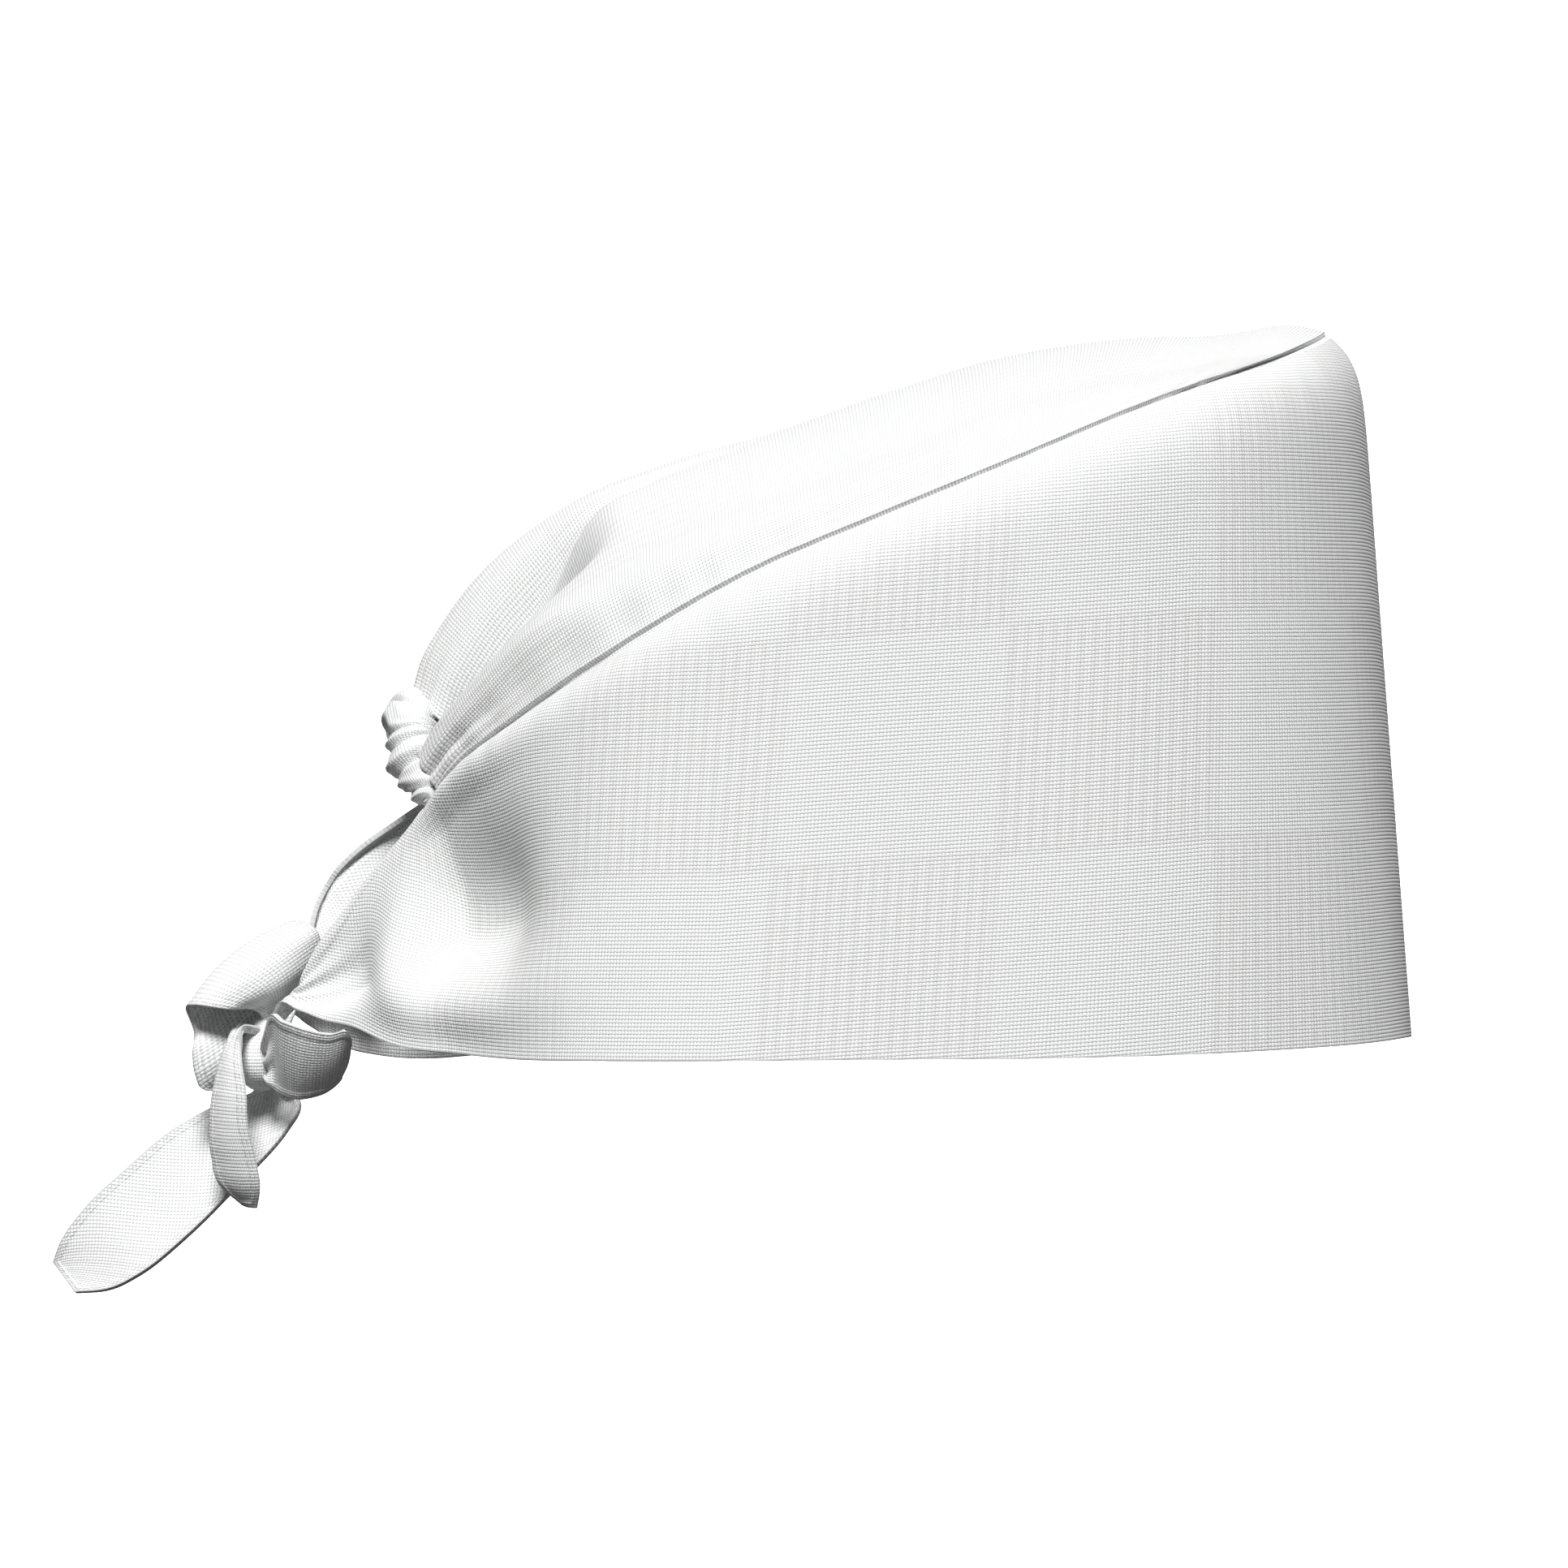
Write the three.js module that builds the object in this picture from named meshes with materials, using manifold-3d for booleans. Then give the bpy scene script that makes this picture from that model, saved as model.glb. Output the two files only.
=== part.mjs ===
// A tie-back work cap of thin woven cloth, in millimetres.
// +X points to the wearer's face, +Y to the wearer's left, +Z up.
// The origin is the centre of the head opening, in the plane of its front rim.
// Every cloth piece is a surface of two shares, given one wall's thickness inwards.
import * as THREE from "three";
import { mergeVertices } from "three/addons/utils/BufferGeometryUtils.js";
import Module from "manifold-3d";

const wasm = await Module();
wasm.setup();

// Driving sizes
const clothThickness = 1.2; // one hemmed wall of cloth
const seamGap = 0.4; // clear between the edges of two sewn pieces
const frontReach = 115; // from the origin to the front of the rim
const knotReach = 127; // from the origin back to where the band ends meet the knot
const rimHalfWidth = 82; // half the head opening's width
const frontHeight = 150; // from the rim up to the crown's seam at the forehead
const crownFrontReach = 98.4; // from the origin to the front of the crown's seam
const crownRearReach = 93.5; // from the origin back to the gathered corners
const crownHalfWidth = 71; // half the crown's width along its seam
const crownTop = 153.4; // height of the crown's highest fold over the rim
const wallFullness = 6; // how far the band stands out from a straight wall
const shoulderSharpness = 28; // the higher, the tighter the turn under the seam
const crownOverhang = 3; // how far the crown's edge rolls out over its seam
const foldDepth = 6; // depth of the deepest fold drawn into the gather
const casingRadius = 4.4; // the gathered casing at the back of the crown
const casingRuffles = 9;
const tieWidth = 20; // width of the flat tie, the unit of the bow's tables
const knotLift = -1.2; // height of the middle of the knot over the rim's plane
const knotLength = 5; // half sizes of the knot
const knotBreadth = 7;
const knotHeight = 8.2;

// The right wall of the band from the forehead to the knot, a row for each section; the first row lies
// on the left of the forehead, so that the front runs round smoothly.
// rimX and topX are shares of the reaches, rimY and topY of the half widths,
// rimZ and topZ of the front height.
const rightWall = [
  { at: -0.08, rimX: 0.966, rimY: -0.259, rimZ: 0.014, topX: 0.955, topY: -0.262, topZ: 0.979 },
  { at: 0.0, rimX: 1.0, rimY: 0.0, rimZ: 0.015, topX: 1.0, topY: 0.0, topZ: 1.0 },
  { at: 0.08, rimX: 0.966, rimY: 0.259, rimZ: 0.014, topX: 0.955, topY: 0.262, topZ: 0.979 },
  { at: 0.16, rimX: 0.866, rimY: 0.5, rimZ: 0.012, topX: 0.862, topY: 0.51, topZ: 0.95 },
  { at: 0.24, rimX: 0.707, rimY: 0.707, rimZ: 0.01, topX: 0.726, topY: 0.735, topZ: 0.918 },
  { at: 0.32, rimX: 0.53, rimY: 0.848, rimZ: 0.008, topX: 0.553, topY: 0.885, topZ: 0.874 },
  { at: 0.42, rimX: 0.276, rimY: 0.961, rimZ: 0.006, topX: 0.305, topY: 0.98, topZ: 0.804 },
  { at: 0.52, rimX: 0.017, rimY: 1.0, rimZ: 0.006, topX: 0.02, topY: 1.0, topZ: 0.726 },
  { at: 0.62, rimX: -0.22, rimY: 0.982, rimZ: 0.004, topX: -0.278, topY: 0.944, topZ: 0.646 },
  { at: 0.71, rimX: -0.425, rimY: 0.89, rimZ: 0.002, topX: -0.545, topY: 0.796, topZ: 0.552 },
  { at: 0.79, rimX: -0.598, rimY: 0.72, rimZ: 0.0, topX: -0.77, topY: 0.556, topZ: 0.463 },
  { at: 0.85, rimX: -0.709, rimY: 0.537, rimZ: 0.003, topX: -0.92, topY: 0.366, topZ: 0.392 },
  { at: 0.89, rimX: -0.78, rimY: 0.395, rimZ: 0.009, topX: -1.0, topY: 0.26, topZ: 0.327 },
  { at: 0.93, rimX: -0.85, rimY: 0.275, rimZ: 0.034, topX: -1.117, topY: 0.19, topZ: 0.242 },
  { at: 0.95, rimX: -0.875, rimY: 0.225, rimZ: 0.038, topX: -1.18, topY: 0.155, topZ: 0.191 },
  { at: 0.965, rimX: -0.9, rimY: 0.195, rimZ: 0.042, topX: -1.232, topY: 0.12, topZ: 0.152 },
  { at: 0.98, rimX: -0.945, rimY: 0.15, rimZ: 0.055, topX: -1.268, topY: 0.085, topZ: 0.108 },
  { at: 0.992, rimX: -0.983, rimY: 0.095, rimZ: 0.062, topX: -1.285, topY: 0.06, topZ: 0.07 },
  { at: 1.0, rimX: -1.0, rimY: 0.05, rimZ: 0.022, topX: -1.355, topY: 0.035, topZ: 0.022 },
];

// The left wall follows the right one, but hangs lower behind the ear and reaches further back.
const leftSag = [
  { at: 0.0, rimZ: 0.0, topX: 0.0, topZ: 0.0 },
  { at: 0.52, rimZ: -0.004, topX: 0.0, topZ: 0.0 },
  { at: 0.7, rimZ: -0.014, topX: 0.0, topZ: 0.0 },
  { at: 0.8, rimZ: -0.02, topX: 0.0, topZ: 0.0 },
  { at: 0.89, rimZ: -0.034, topX: -0.012, topZ: 0.008 },
  { at: 0.93, rimZ: -0.05, topX: -0.03, topZ: 0.03 },
  { at: 0.965, rimZ: -0.04, topX: -0.018, topZ: 0.04 },
  { at: 1.0, rimZ: -0.006, topX: 0.0, topZ: 0.01 },
];

// Dents and swells of the walls behind the ears, a row for each: where its middle is, how far it spreads
// before and after it along the wall and below and above it, and how far it stands out in fold depths.
// In turn they are the gather's valley, a hollow ahead of it, a ridge behind it, the pocket above the knot
// and the rim turned under.
const wallDents = [
  { at: 0.852, up: 0.46, before: 0.072, after: 0.026, below: 0.26, above: 0.44, out: -1.3 },
  { at: 0.804, up: 0.44, before: 0.032, after: 0.046, below: 0.26, above: 0.24, out: -0.7 },
  { at: 0.885, up: 0.3, before: 0.02, after: 0.03, below: 0.2, above: 0.3, out: 0.35 },
  { at: 0.94, up: 0.3, before: 0.03, after: 0.03, below: 0.13, above: 0.38, out: -0.75 },
  { at: 0.845, up: 0, before: 0.08, after: 0.05, below: 0.15, above: 0.15, out: -0.9 },
];

// The crown's ridge from the forehead to the gather: ahead is a share of the crown's reach,
// high of its top.
const crownRidge = [
  { at: 0.0, ahead: 1.0, high: 0.98 },
  { at: 0.06, ahead: 0.905, high: 0.99 },
  { at: 0.13, ahead: 0.76, high: 0.976 },
  { at: 0.22, ahead: 0.55, high: 0.97 },
  { at: 0.32, ahead: 0.3, high: 0.946 },
  { at: 0.44, ahead: 0.05, high: 0.898 },
  { at: 0.56, ahead: -0.21, high: 0.842 },
  { at: 0.68, ahead: -0.47, high: 0.796 },
  { at: 0.78, ahead: -0.7, high: 0.738 },
  { at: 0.86, ahead: -0.88, high: 0.656 },
  { at: 0.93, ahead: -0.995, high: 0.558 },
  { at: 1.0, ahead: -1.032, high: 0.494 },
];

// Folds of the crown that the gather draws in. across runs from -1 at the right seam to 1 at the left one,
// from is the share of the crown's length where the fold begins, deep a share of the folds' depth.
const crownFolds = [
  { name: "long right valley", acrossFrom: -0.16, acrossTo: -0.6, from: 0.52, spread: 0.12, deep: 0.95 },
  { name: "short right valley", acrossFrom: -0.68, acrossTo: -0.82, from: 0.7, spread: 0.085, deep: 0.85 },
  { name: "right seam valley", acrossFrom: -0.9, acrossTo: -0.94, from: 0.72, spread: 0.05, deep: 0.4 },
  { name: "ridge valley", acrossFrom: 0.08, acrossTo: -0.1, from: 0.62, spread: 0.09, deep: 0.6 },
  { name: "left inner valley", acrossFrom: 0.34, acrossTo: 0.4, from: 0.56, spread: 0.11, deep: 0.85 },
  { name: "left outer valley", acrossFrom: 0.7, acrossTo: 0.78, from: 0.68, spread: 0.09, deep: 0.8 },
];

// The bow. Each tie is a strip between two edges, a row for each section. The columns a and b give a point
// of the one and the other edge from the middle of the knot, as shares of the tie's width:
// X ahead, Y left, Z up.
// round is how far the middle of the strip stands out from the straight line between its edges.
const upperLoop = [
  { at: 0.0, aX: 0.06, aY: -0.05, aZ: 0.22, bX: 0.3, bY: 0.0, bZ: 0.3, round: 0.0 },
  { at: 0.1, aX: -0.04, aY: -0.2, aZ: 0.44, bX: 0.42, bY: 0.06, bZ: 0.62, round: 0.03 },
  { at: 0.25, aX: -0.33, aY: -0.52, aZ: 0.48, bX: 0.6, bY: 0.08, bZ: 1.1, round: 0.17 },
  { at: 0.4, aX: -0.68, aY: -0.5, aZ: 0.52, bX: 0.5, bY: 0.1, bZ: 1.35, round: 0.2 },
  { at: 0.5, aX: -0.78, aY: -0.22, aZ: 0.5, bX: 0.26, bY: 0.42, bZ: 1.4, round: 0.25 },
  { at: 0.62, aX: -0.67, aY: 0.02, aZ: 0.26, bX: 0.14, bY: 0.74, bZ: 1.1, round: 0.17 },
  { at: 0.72, aX: -0.71, aY: 0.08, aZ: 0.02, bX: 0.12, bY: 0.8, bZ: 0.8, round: 0.06 },
  { at: 0.8, aX: -0.68, aY: 0.12, aZ: -0.22, bX: 0.1, bY: 0.74, bZ: 0.56, round: 0.05 },
  { at: 0.87, aX: -0.58, aY: 0.14, aZ: -0.36, bX: 0.08, bY: 0.6, bZ: 0.38, round: 0.03 },
  { at: 0.94, aX: -0.34, aY: 0.14, aZ: -0.34, bX: 0.06, bY: 0.4, bZ: 0.24, round: 0.0 },
  { at: 1.0, aX: -0.08, aY: 0.1, aZ: -0.16, bX: 0.04, bY: 0.2, bZ: 0.1, round: 0.0 },
];

const nearLoop = [
  { at: 0.0, aX: 0.02, aY: -0.2, aZ: 0.06, bX: 0.04, bY: -0.15, bZ: -0.24, round: 0.0 },
  { at: 0.07, aX: 0.05, aY: -0.46, aZ: 0.18, bX: 0.09, bY: -0.36, bZ: -0.33, round: 0.0 },
  { at: 0.14, aX: 0.12, aY: -0.66, aZ: 0.4, bX: 0.16, bY: -0.5, bZ: -0.38, round: 0.0 },
  { at: 0.28, aX: 0.3, aY: -0.98, aZ: 0.36, bX: 0.28, bY: -0.8, bZ: -0.43, round: 0.03 },
  { at: 0.42, aX: 0.56, aY: -1.1, aZ: 0.28, bX: 0.46, bY: -0.92, bZ: -0.46, round: 0.05 },
  { at: 0.55, aX: 0.8, aY: -1.14, aZ: 0.24, bX: 0.7, bY: -0.88, bZ: -0.4, round: 0.05 },
  { at: 0.67, aX: 0.98, aY: -1.26, aZ: 0.27, bX: 0.84, bY: -0.74, bZ: -0.3, round: 0.05 },
  { at: 0.76, aX: 1.0, aY: -0.98, aZ: 0.14, bX: 0.84, bY: -0.52, bZ: -0.27, round: 0.04 },
  { at: 0.83, aX: 0.88, aY: -0.64, aZ: 0.1, bX: 0.72, bY: -0.38, bZ: -0.26, round: 0.02 },
  { at: 0.92, aX: 0.52, aY: -0.34, aZ: 0.14, bX: 0.46, bY: -0.26, bZ: -0.24, round: 0.0 },
  { at: 1.0, aX: 0.12, aY: -0.12, aZ: 0.14, bX: 0.12, bY: -0.1, bZ: -0.16, round: 0.0 },
];

const shortTail = [
  { at: 0.0, aX: 0.02, aY: -0.2, aZ: 0.24, bX: -0.1, bY: -0.1, bZ: 0.26, round: 0.0 },
  { at: 0.12, aX: -0.17, aY: -0.46, aZ: 0.28, bX: -0.26, bY: -0.22, bZ: 0.3, round: -0.02 },
  { at: 0.25, aX: -0.16, aY: -0.7, aZ: 0.0, bX: -0.34, bY: -0.26, bZ: 0.06, round: -0.05 },
  { at: 0.42, aX: -0.1, aY: -0.9, aZ: -0.36, bX: -0.44, bY: -0.26, bZ: -0.32, round: -0.1 },
  { at: 0.6, aX: -0.1, aY: -0.94, aZ: -0.72, bX: -0.5, bY: -0.24, bZ: -0.7, round: -0.12 },
  { at: 0.78, aX: 0.0, aY: -0.9, aZ: -1.08, bX: -0.47, bY: -0.26, bZ: -1.06, round: -0.12 },
  { at: 0.92, aX: 0.07, aY: -0.78, aZ: -1.4, bX: -0.36, bY: -0.36, bZ: -1.38, round: -0.08 },
  { at: 1.0, aX: 0.0, aY: -0.62, aZ: -1.6, bX: -0.17, bY: -0.5, bZ: -1.57, round: -0.02 },
];

const longTail = [
  { at: 0.0, aX: 0.14, aY: -0.05, aZ: -0.24, bX: -0.06, bY: 0.12, bZ: -0.22, round: 0.0 },
  { at: 0.1, aX: 0.4, aY: -0.12, aZ: -0.5, bX: -0.12, bY: 0.24, bZ: -0.42, round: -0.02 },
  { at: 0.22, aX: 0.26, aY: -0.18, aZ: -0.82, bX: -0.4, bY: 0.34, bZ: -0.52, round: -0.04 },
  { at: 0.4, aX: -0.26, aY: -0.2, aZ: -1.4, bX: -0.98, bY: 0.38, bZ: -0.83, round: -0.05 },
  { at: 0.6, aX: -0.8, aY: -0.2, aZ: -1.94, bX: -1.47, bY: 0.4, bZ: -1.24, round: -0.05 },
  { at: 0.78, aX: -1.3, aY: -0.14, aZ: -2.34, bX: -1.92, bY: 0.44, bZ: -1.66, round: -0.05 },
  { at: 0.92, aX: -1.7, aY: 0.04, aZ: -2.52, bX: -2.2, bY: 0.52, bZ: -2.04, round: -0.04 },
  { at: 1.0, aX: -2.02, aY: 0.24, aZ: -2.56, bX: -2.29, bY: 0.6, bZ: -2.27, round: 0.0 },
];

// The casing's middle from the crown's gathered edge, at 0 on the ridge and at 1 at a corner; all are
// shares of its radius.
const casingHang = [
  { at: 0.0, back: 0.25, down: 1.25, radius: 0.92 },
  { at: 0.3, back: 0.64, down: 1.18, radius: 1.0 },
  { at: 0.6, back: 0.8, down: 1.25, radius: 1.1 },
  { at: 0.85, back: 0.55, down: 1.2, radius: 1.1 },
  { at: 1.0, back: 0.5, down: 0.7, radius: 1.0 },
];

const frontSections = 9; // sections of the band on each side of the forehead
const crownRows = 24; // rows of the crown, and sections of each side of the band under it
const freeSections = 8; // sections of each side of the band behind the crown
const frontArcShare = 0.22; // the crown's front edge takes this share of each wall
const cornerShare = 0.87; // the crown's side edges end at this share of each wall
const frontBlend = 0.4; // the share of the crown's length over which its front is drawn out to the seam
const archPower = 2.1; // the higher, the flatter the crown's top from side to side
const gatherPower = 1.35; // the same where the crown is gathered
const casingSpan = 0.88; // how much of the crown's gathered edge the casing covers
const knotLean = 0.4; // how far the knot's top leans ahead of its middle

// The value of a table's column at a share, on a smooth cubic through its rows.
function column(rows, name, at) {
  const last = rows.length - 1;
  let row = 0;
  while (row < last - 1 && rows[row + 1].at < at) row += 1;
  const slope = (a, b) => (rows[b][name] - rows[a][name]) / (rows[b].at - rows[a].at);
  const tangent = (k) => {
    if (k === 0) return slope(0, 1);
    if (k === last) return slope(last - 1, last);
    const before = rows[k].at - rows[k - 1].at;
    const after = rows[k + 1].at - rows[k].at;
    return (slope(k - 1, k) * after + slope(k, k + 1) * before) / (before + after);
  };
  const span = rows[row + 1].at - rows[row].at;
  const s = THREE.MathUtils.clamp((at - rows[row].at) / span, 0, 1);
  const value = rows[row][name] * (1 + 2 * s) * (1 - s) ** 2 + rows[row + 1][name] * (3 - 2 * s) * s * s;
  return value + span * (tangent(row) * s * (1 - s) ** 2 - tangent(row + 1) * (1 - s) * s * s);
}

const bell = (distance, spread) => Math.exp(-((distance / spread) ** 2));
const ramp = (value, from, to) => THREE.MathUtils.smoothstep(value, from, to);

// The band's rim at a share of one wall; side is -1 for the wearer's right and 1 for the left.
function rimPoint(side, at) {
  const x = column(rightWall, "rimX", at);
  const sag = side > 0 ? column(leftSag, "rimZ", at) : 0;
  return new THREE.Vector3(
    x * (x > 0 ? frontReach : knotReach),
    side * column(rightWall, "rimY", at) * rimHalfWidth,
    (column(rightWall, "rimZ", at) + sag) * frontHeight,
  );
}

// The band's upper edge: the crown's seam as far as the gather, then the free edge down to the knot.
function topPoint(side, at) {
  const left = side > 0 ? 1 : 0;
  const x = column(rightWall, "topX", at) + left * column(leftSag, "topX", at);
  const z = column(rightWall, "topZ", at) + left * column(leftSag, "topZ", at);
  return new THREE.Vector3(
    x * (x > 0 ? crownFrontReach : crownRearReach),
    side * column(rightWall, "topY", at) * crownHalfWidth,
    z * frontHeight,
  );
}

// The level direction out of a wall, square to the rim.
function outOfWall(side, at) {
  if (at < 0.001) return new THREE.Vector3(1, 0, 0);
  const step = 0.004;
  const run = rimPoint(side, Math.min(1, at + step)).sub(rimPoint(side, at - step));
  return new THREE.Vector3(side * run.y, -side * run.x, 0).normalize();
}

// Where the band and the crown are sewn, both edges are cut square to this direction into the cap.
function intoSeam(side, at) {
  const seam = topPoint(side, at);
  const inward = new THREE.Vector3(-0.1 * crownRearReach, 0, 0.35 * frontHeight).sub(seam).normalize();
  const run = seamRun(side, at);
  return inward.addScaledVector(run, -inward.dot(run)).normalize();
}

function seamRun(side, at) {
  const step = 0.004;
  if (at < step) return new THREE.Vector3(0, 1, 0);
  const run = topPoint(side, Math.min(1, at + step)).sub(topPoint(side, at - step));
  return run.multiplyScalar(side).normalize();
}

// A point of the crown's sewn edge, a seam's gap from the band's top edge.
function crownEdge(side, at) {
  const apart = seamRun(side, at).cross(intoSeam(side, at)).normalize();
  if (apart.z < 0) apart.negate();
  return topPoint(side, at).addScaledVector(apart, seamGap);
}

// A point of the band's outer face: along runs from -1 at the right end to 1 at the left end,
// up from the rim to the top.
function bandPoint(along, up) {
  const side = along < 0 ? -1 : 1;
  const at = Math.abs(along);
  const tail = 1 - ramp(at, 0.8, 1);
  let out = wallFullness * (0.15 + 0.85 * tail) * (up - up ** shoulderSharpness);
  const clear = 1 - ramp(up, 0.82, 1);
  for (const dent of wallDents) {
    const spreadAt = at < dent.at ? dent.before : dent.after;
    const spreadUp = up < dent.up ? dent.below : dent.above;
    out += foldDepth * dent.out * clear * bell(at - dent.at, spreadAt) * bell(up - dent.up, spreadUp);
  }
  return rimPoint(side, at).lerp(topPoint(side, at), up).addScaledVector(outOfWall(side, at), out);
}

// The crown before its folds. back runs from the forehead to the gather, across from -1 right to 1 left.
function plainCrown(back, across) {
  const at = THREE.MathUtils.lerp(frontArcShare, cornerShare, back);
  const right = crownEdge(-1, at);
  const left = crownEdge(1, at);
  const ahead = column(crownRidge, "ahead", back);
  const ridgeX = ahead * (ahead > 0 ? crownFrontReach : crownRearReach);
  const ridge = new THREE.Vector3(ridgeX, 0, column(crownRidge, "high", back) * crownTop);
  const middle = right.clone().add(left).multiplyScalar(0.5);
  const power = THREE.MathUtils.lerp(archPower, gatherPower, ramp(back, 0.75, 1));
  const arch = 1 - Math.abs(across) ** power;
  return right.lerp(left, (across + 1) / 2).addScaledVector(ridge.sub(middle), arch);
}

// The crown's surface: near the forehead it is drawn out to the front of the seam, behind it is folded.
function crownPoint(back, across) {
  const side = across < 0 ? -1 : 1;
  const edge = Math.abs(across);
  const point = plainCrown(back, across);
  const toFront = Math.max(0, 1 - back / frontBlend) ** 2;
  if (toFront > 0) {
    const wanted = crownEdge(side, frontArcShare * edge);
    point.addScaledVector(wanted.sub(plainCrown(0, across)), toFront);
  }
  const at = THREE.MathUtils.lerp(frontArcShare, cornerShare, back);
  const rolledEdge = Math.sin(Math.PI * ramp(edge, 0.7, 1));
  const rolled = ramp(back, 0, 0.25) * (1 - 0.7 * ramp(back, 0.6, 0.9)) * rolledEdge;
  point.addScaledVector(outOfWall(side, at), crownOverhang * rolled);
  let sink = 0;
  for (const fold of crownFolds) {
    const run = THREE.MathUtils.clamp((back - fold.from) / (1 - fold.from), 0, 1);
    const middle = THREE.MathUtils.lerp(fold.acrossFrom, fold.acrossTo, Math.sqrt(run));
    sink += fold.deep * ramp(run, 0, 0.45) * bell(across - middle, fold.spread);
  }
  const down = new THREE.Vector3(2.6 * ramp(back, 0.6, 1), 0, -1).normalize();
  return point.addScaledVector(down, foldDepth * sink * (1 - ramp(edge, 0.88, 1)));
}

// A closed wall of cloth. The surface faces out where u, then v, turn anticlockwise; inward may give
// the direction into the wall at an edge.
function clothWall(surface, uCount, vCount, inward = () => null) {
  const grid = [];
  for (let i = 0; i <= uCount; i += 1) {
    for (let j = 0; j <= vCount; j += 1) grid.push(surface(i / uCount, j / vCount));
  }
  const id = (i, j) => i * (vCount + 1) + j;
  const under = grid.length;
  const points = [...grid];
  for (let i = 0; i <= uCount; i += 1) {
    for (let j = 0; j <= vCount; j += 1) {
      const uRun = grid[id(Math.min(i + 1, uCount), j)].clone().sub(grid[id(Math.max(i - 1, 0), j)]);
      const vRun = grid[id(i, Math.min(j + 1, vCount))].clone().sub(grid[id(i, Math.max(j - 1, 0))]);
      const into = inward(i / uCount, j / vCount) ?? uRun.cross(vRun).normalize().negate();
      points.push(grid[id(i, j)].clone().addScaledVector(into, clothThickness));
    }
  }
  const faces = [];
  const quad = (a, b, c, d) => faces.push(a, b, c, a, c, d);
  for (let i = 0; i < uCount; i += 1) {
    for (let j = 0; j < vCount; j += 1) {
      quad(id(i, j), id(i + 1, j), id(i + 1, j + 1), id(i, j + 1));
      quad(under + id(i, j), under + id(i, j + 1), under + id(i + 1, j + 1), under + id(i + 1, j));
    }
    quad(id(i, 0), under + id(i, 0), under + id(i + 1, 0), id(i + 1, 0));
    quad(id(i + 1, vCount), under + id(i + 1, vCount), under + id(i, vCount), id(i, vCount));
  }
  for (let j = 0; j < vCount; j += 1) {
    quad(id(0, j + 1), under + id(0, j + 1), under + id(0, j), id(0, j));
    quad(id(uCount, j), under + id(uCount, j), under + id(uCount, j + 1), id(uCount, j + 1));
  }
  return geometryFrom(points, faces);
}

function geometryFrom(points, faces) {
  const geometry = new THREE.BufferGeometry().setFromPoints(points);
  geometry.setIndex(faces);
  return geometry;
}

// The band's sections from its middle to an end: those of the crown's front, its sides and the free edge.
function bandStation(section) {
  if (section <= frontSections) return (frontArcShare * section) / frontSections;
  const behind = section - frontSections;
  if (behind <= crownRows) return THREE.MathUtils.lerp(frontArcShare, cornerShare, behind / crownRows);
  return THREE.MathUtils.lerp(cornerShare, 1, (behind - crownRows) / freeSections);
}

// The band in one piece, with closer rows towards the shoulder under the seam.
function sideBand() {
  const half = frontSections + crownRows + freeSections;
  const along = (u) => {
    const section = Math.round(2 * half * u) - half;
    return Math.sign(section) * bandStation(Math.abs(section));
  };
  const closer = (v) => 1 - (1 - v) ** 1.7;
  const intoTop = (u, v) => {
    const share = along(u);
    return v === 1 && Math.abs(share) <= cornerShare ? intoSeam(share < 0 ? -1 : 1, Math.abs(share)) : null;
  };
  return clothWall((u, v) => bandPoint(along(u), closer(v)), 2 * half, 8, intoTop);
}

function crownPanel() {
  const spread = (u) => 0.7 * (2 * u - 1) + 0.3 * Math.sin(Math.PI * (u - 0.5));
  const intoEdge = (u, v) => {
    const across = spread(u);
    const side = across < 0 ? -1 : 1;
    if (v === 0) return intoSeam(side, frontArcShare * Math.abs(across));
    if (u === 0 || u === 1) return intoSeam(side, THREE.MathUtils.lerp(frontArcShare, cornerShare, v));
    return null;
  };
  return clothWall((u, v) => crownPoint(1 - v, spread(u)), 34, crownRows, (u, v) => intoEdge(u, 1 - v));
}

// The ruffled casing follows the crown's gathered edge from corner to corner,
// a tube pinched between ruffles.
function rearCasing() {
  const steps = 54;
  const sides = 10;
  const middle = (s) => {
    const across = casingSpan * (2 * s - 1);
    const back = column(casingHang, "back", Math.abs(across));
    const down = column(casingHang, "down", Math.abs(across));
    return plainCrown(1, across).add(new THREE.Vector3(-back, 0, -down).multiplyScalar(casingRadius));
  };
  const points = [];
  for (let i = 0; i <= steps; i += 1) {
    const s = i / steps;
    const centre = middle(s);
    const run = middle(Math.min(1, s + 0.01)).sub(middle(Math.max(0, s - 0.01))).normalize();
    const out = new THREE.Vector3(-1, 0, 0).addScaledVector(run, run.x).normalize();
    const beside = run.clone().cross(out);
    const ruffle = Math.abs(Math.sin(Math.PI * casingRuffles * s)) ** 0.5;
    const end = Math.sqrt(Math.sin(Math.PI * THREE.MathUtils.clamp(s, 0.004, 0.996)));
    const full = casingRadius * column(casingHang, "radius", Math.abs(casingSpan * (2 * s - 1)));
    const radius = full * (0.62 + 0.38 * ruffle) * (0.25 + 0.75 * Math.min(1, 1.4 * end));
    for (let k = 0; k < sides; k += 1) {
      const turn = (2 * Math.PI * k) / sides;
      const spoke = out.clone().multiplyScalar(Math.cos(turn)).addScaledVector(beside, Math.sin(turn));
      points.push(centre.clone().addScaledVector(spoke, radius));
    }
  }
  const faces = [];
  for (let i = 0; i < steps; i += 1) {
    for (let k = 0; k < sides; k += 1) {
      const a = i * sides + k;
      const b = i * sides + ((k + 1) % sides);
      faces.push(a, b, b + sides, a, b + sides, a + sides);
    }
  }
  for (let k = 1; k < sides - 1; k += 1) {
    const last = steps * sides;
    faces.push(0, k + 1, k, last, last + k, last + k + 1);
  }
  return geometryFrom(points, faces);
}

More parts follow.
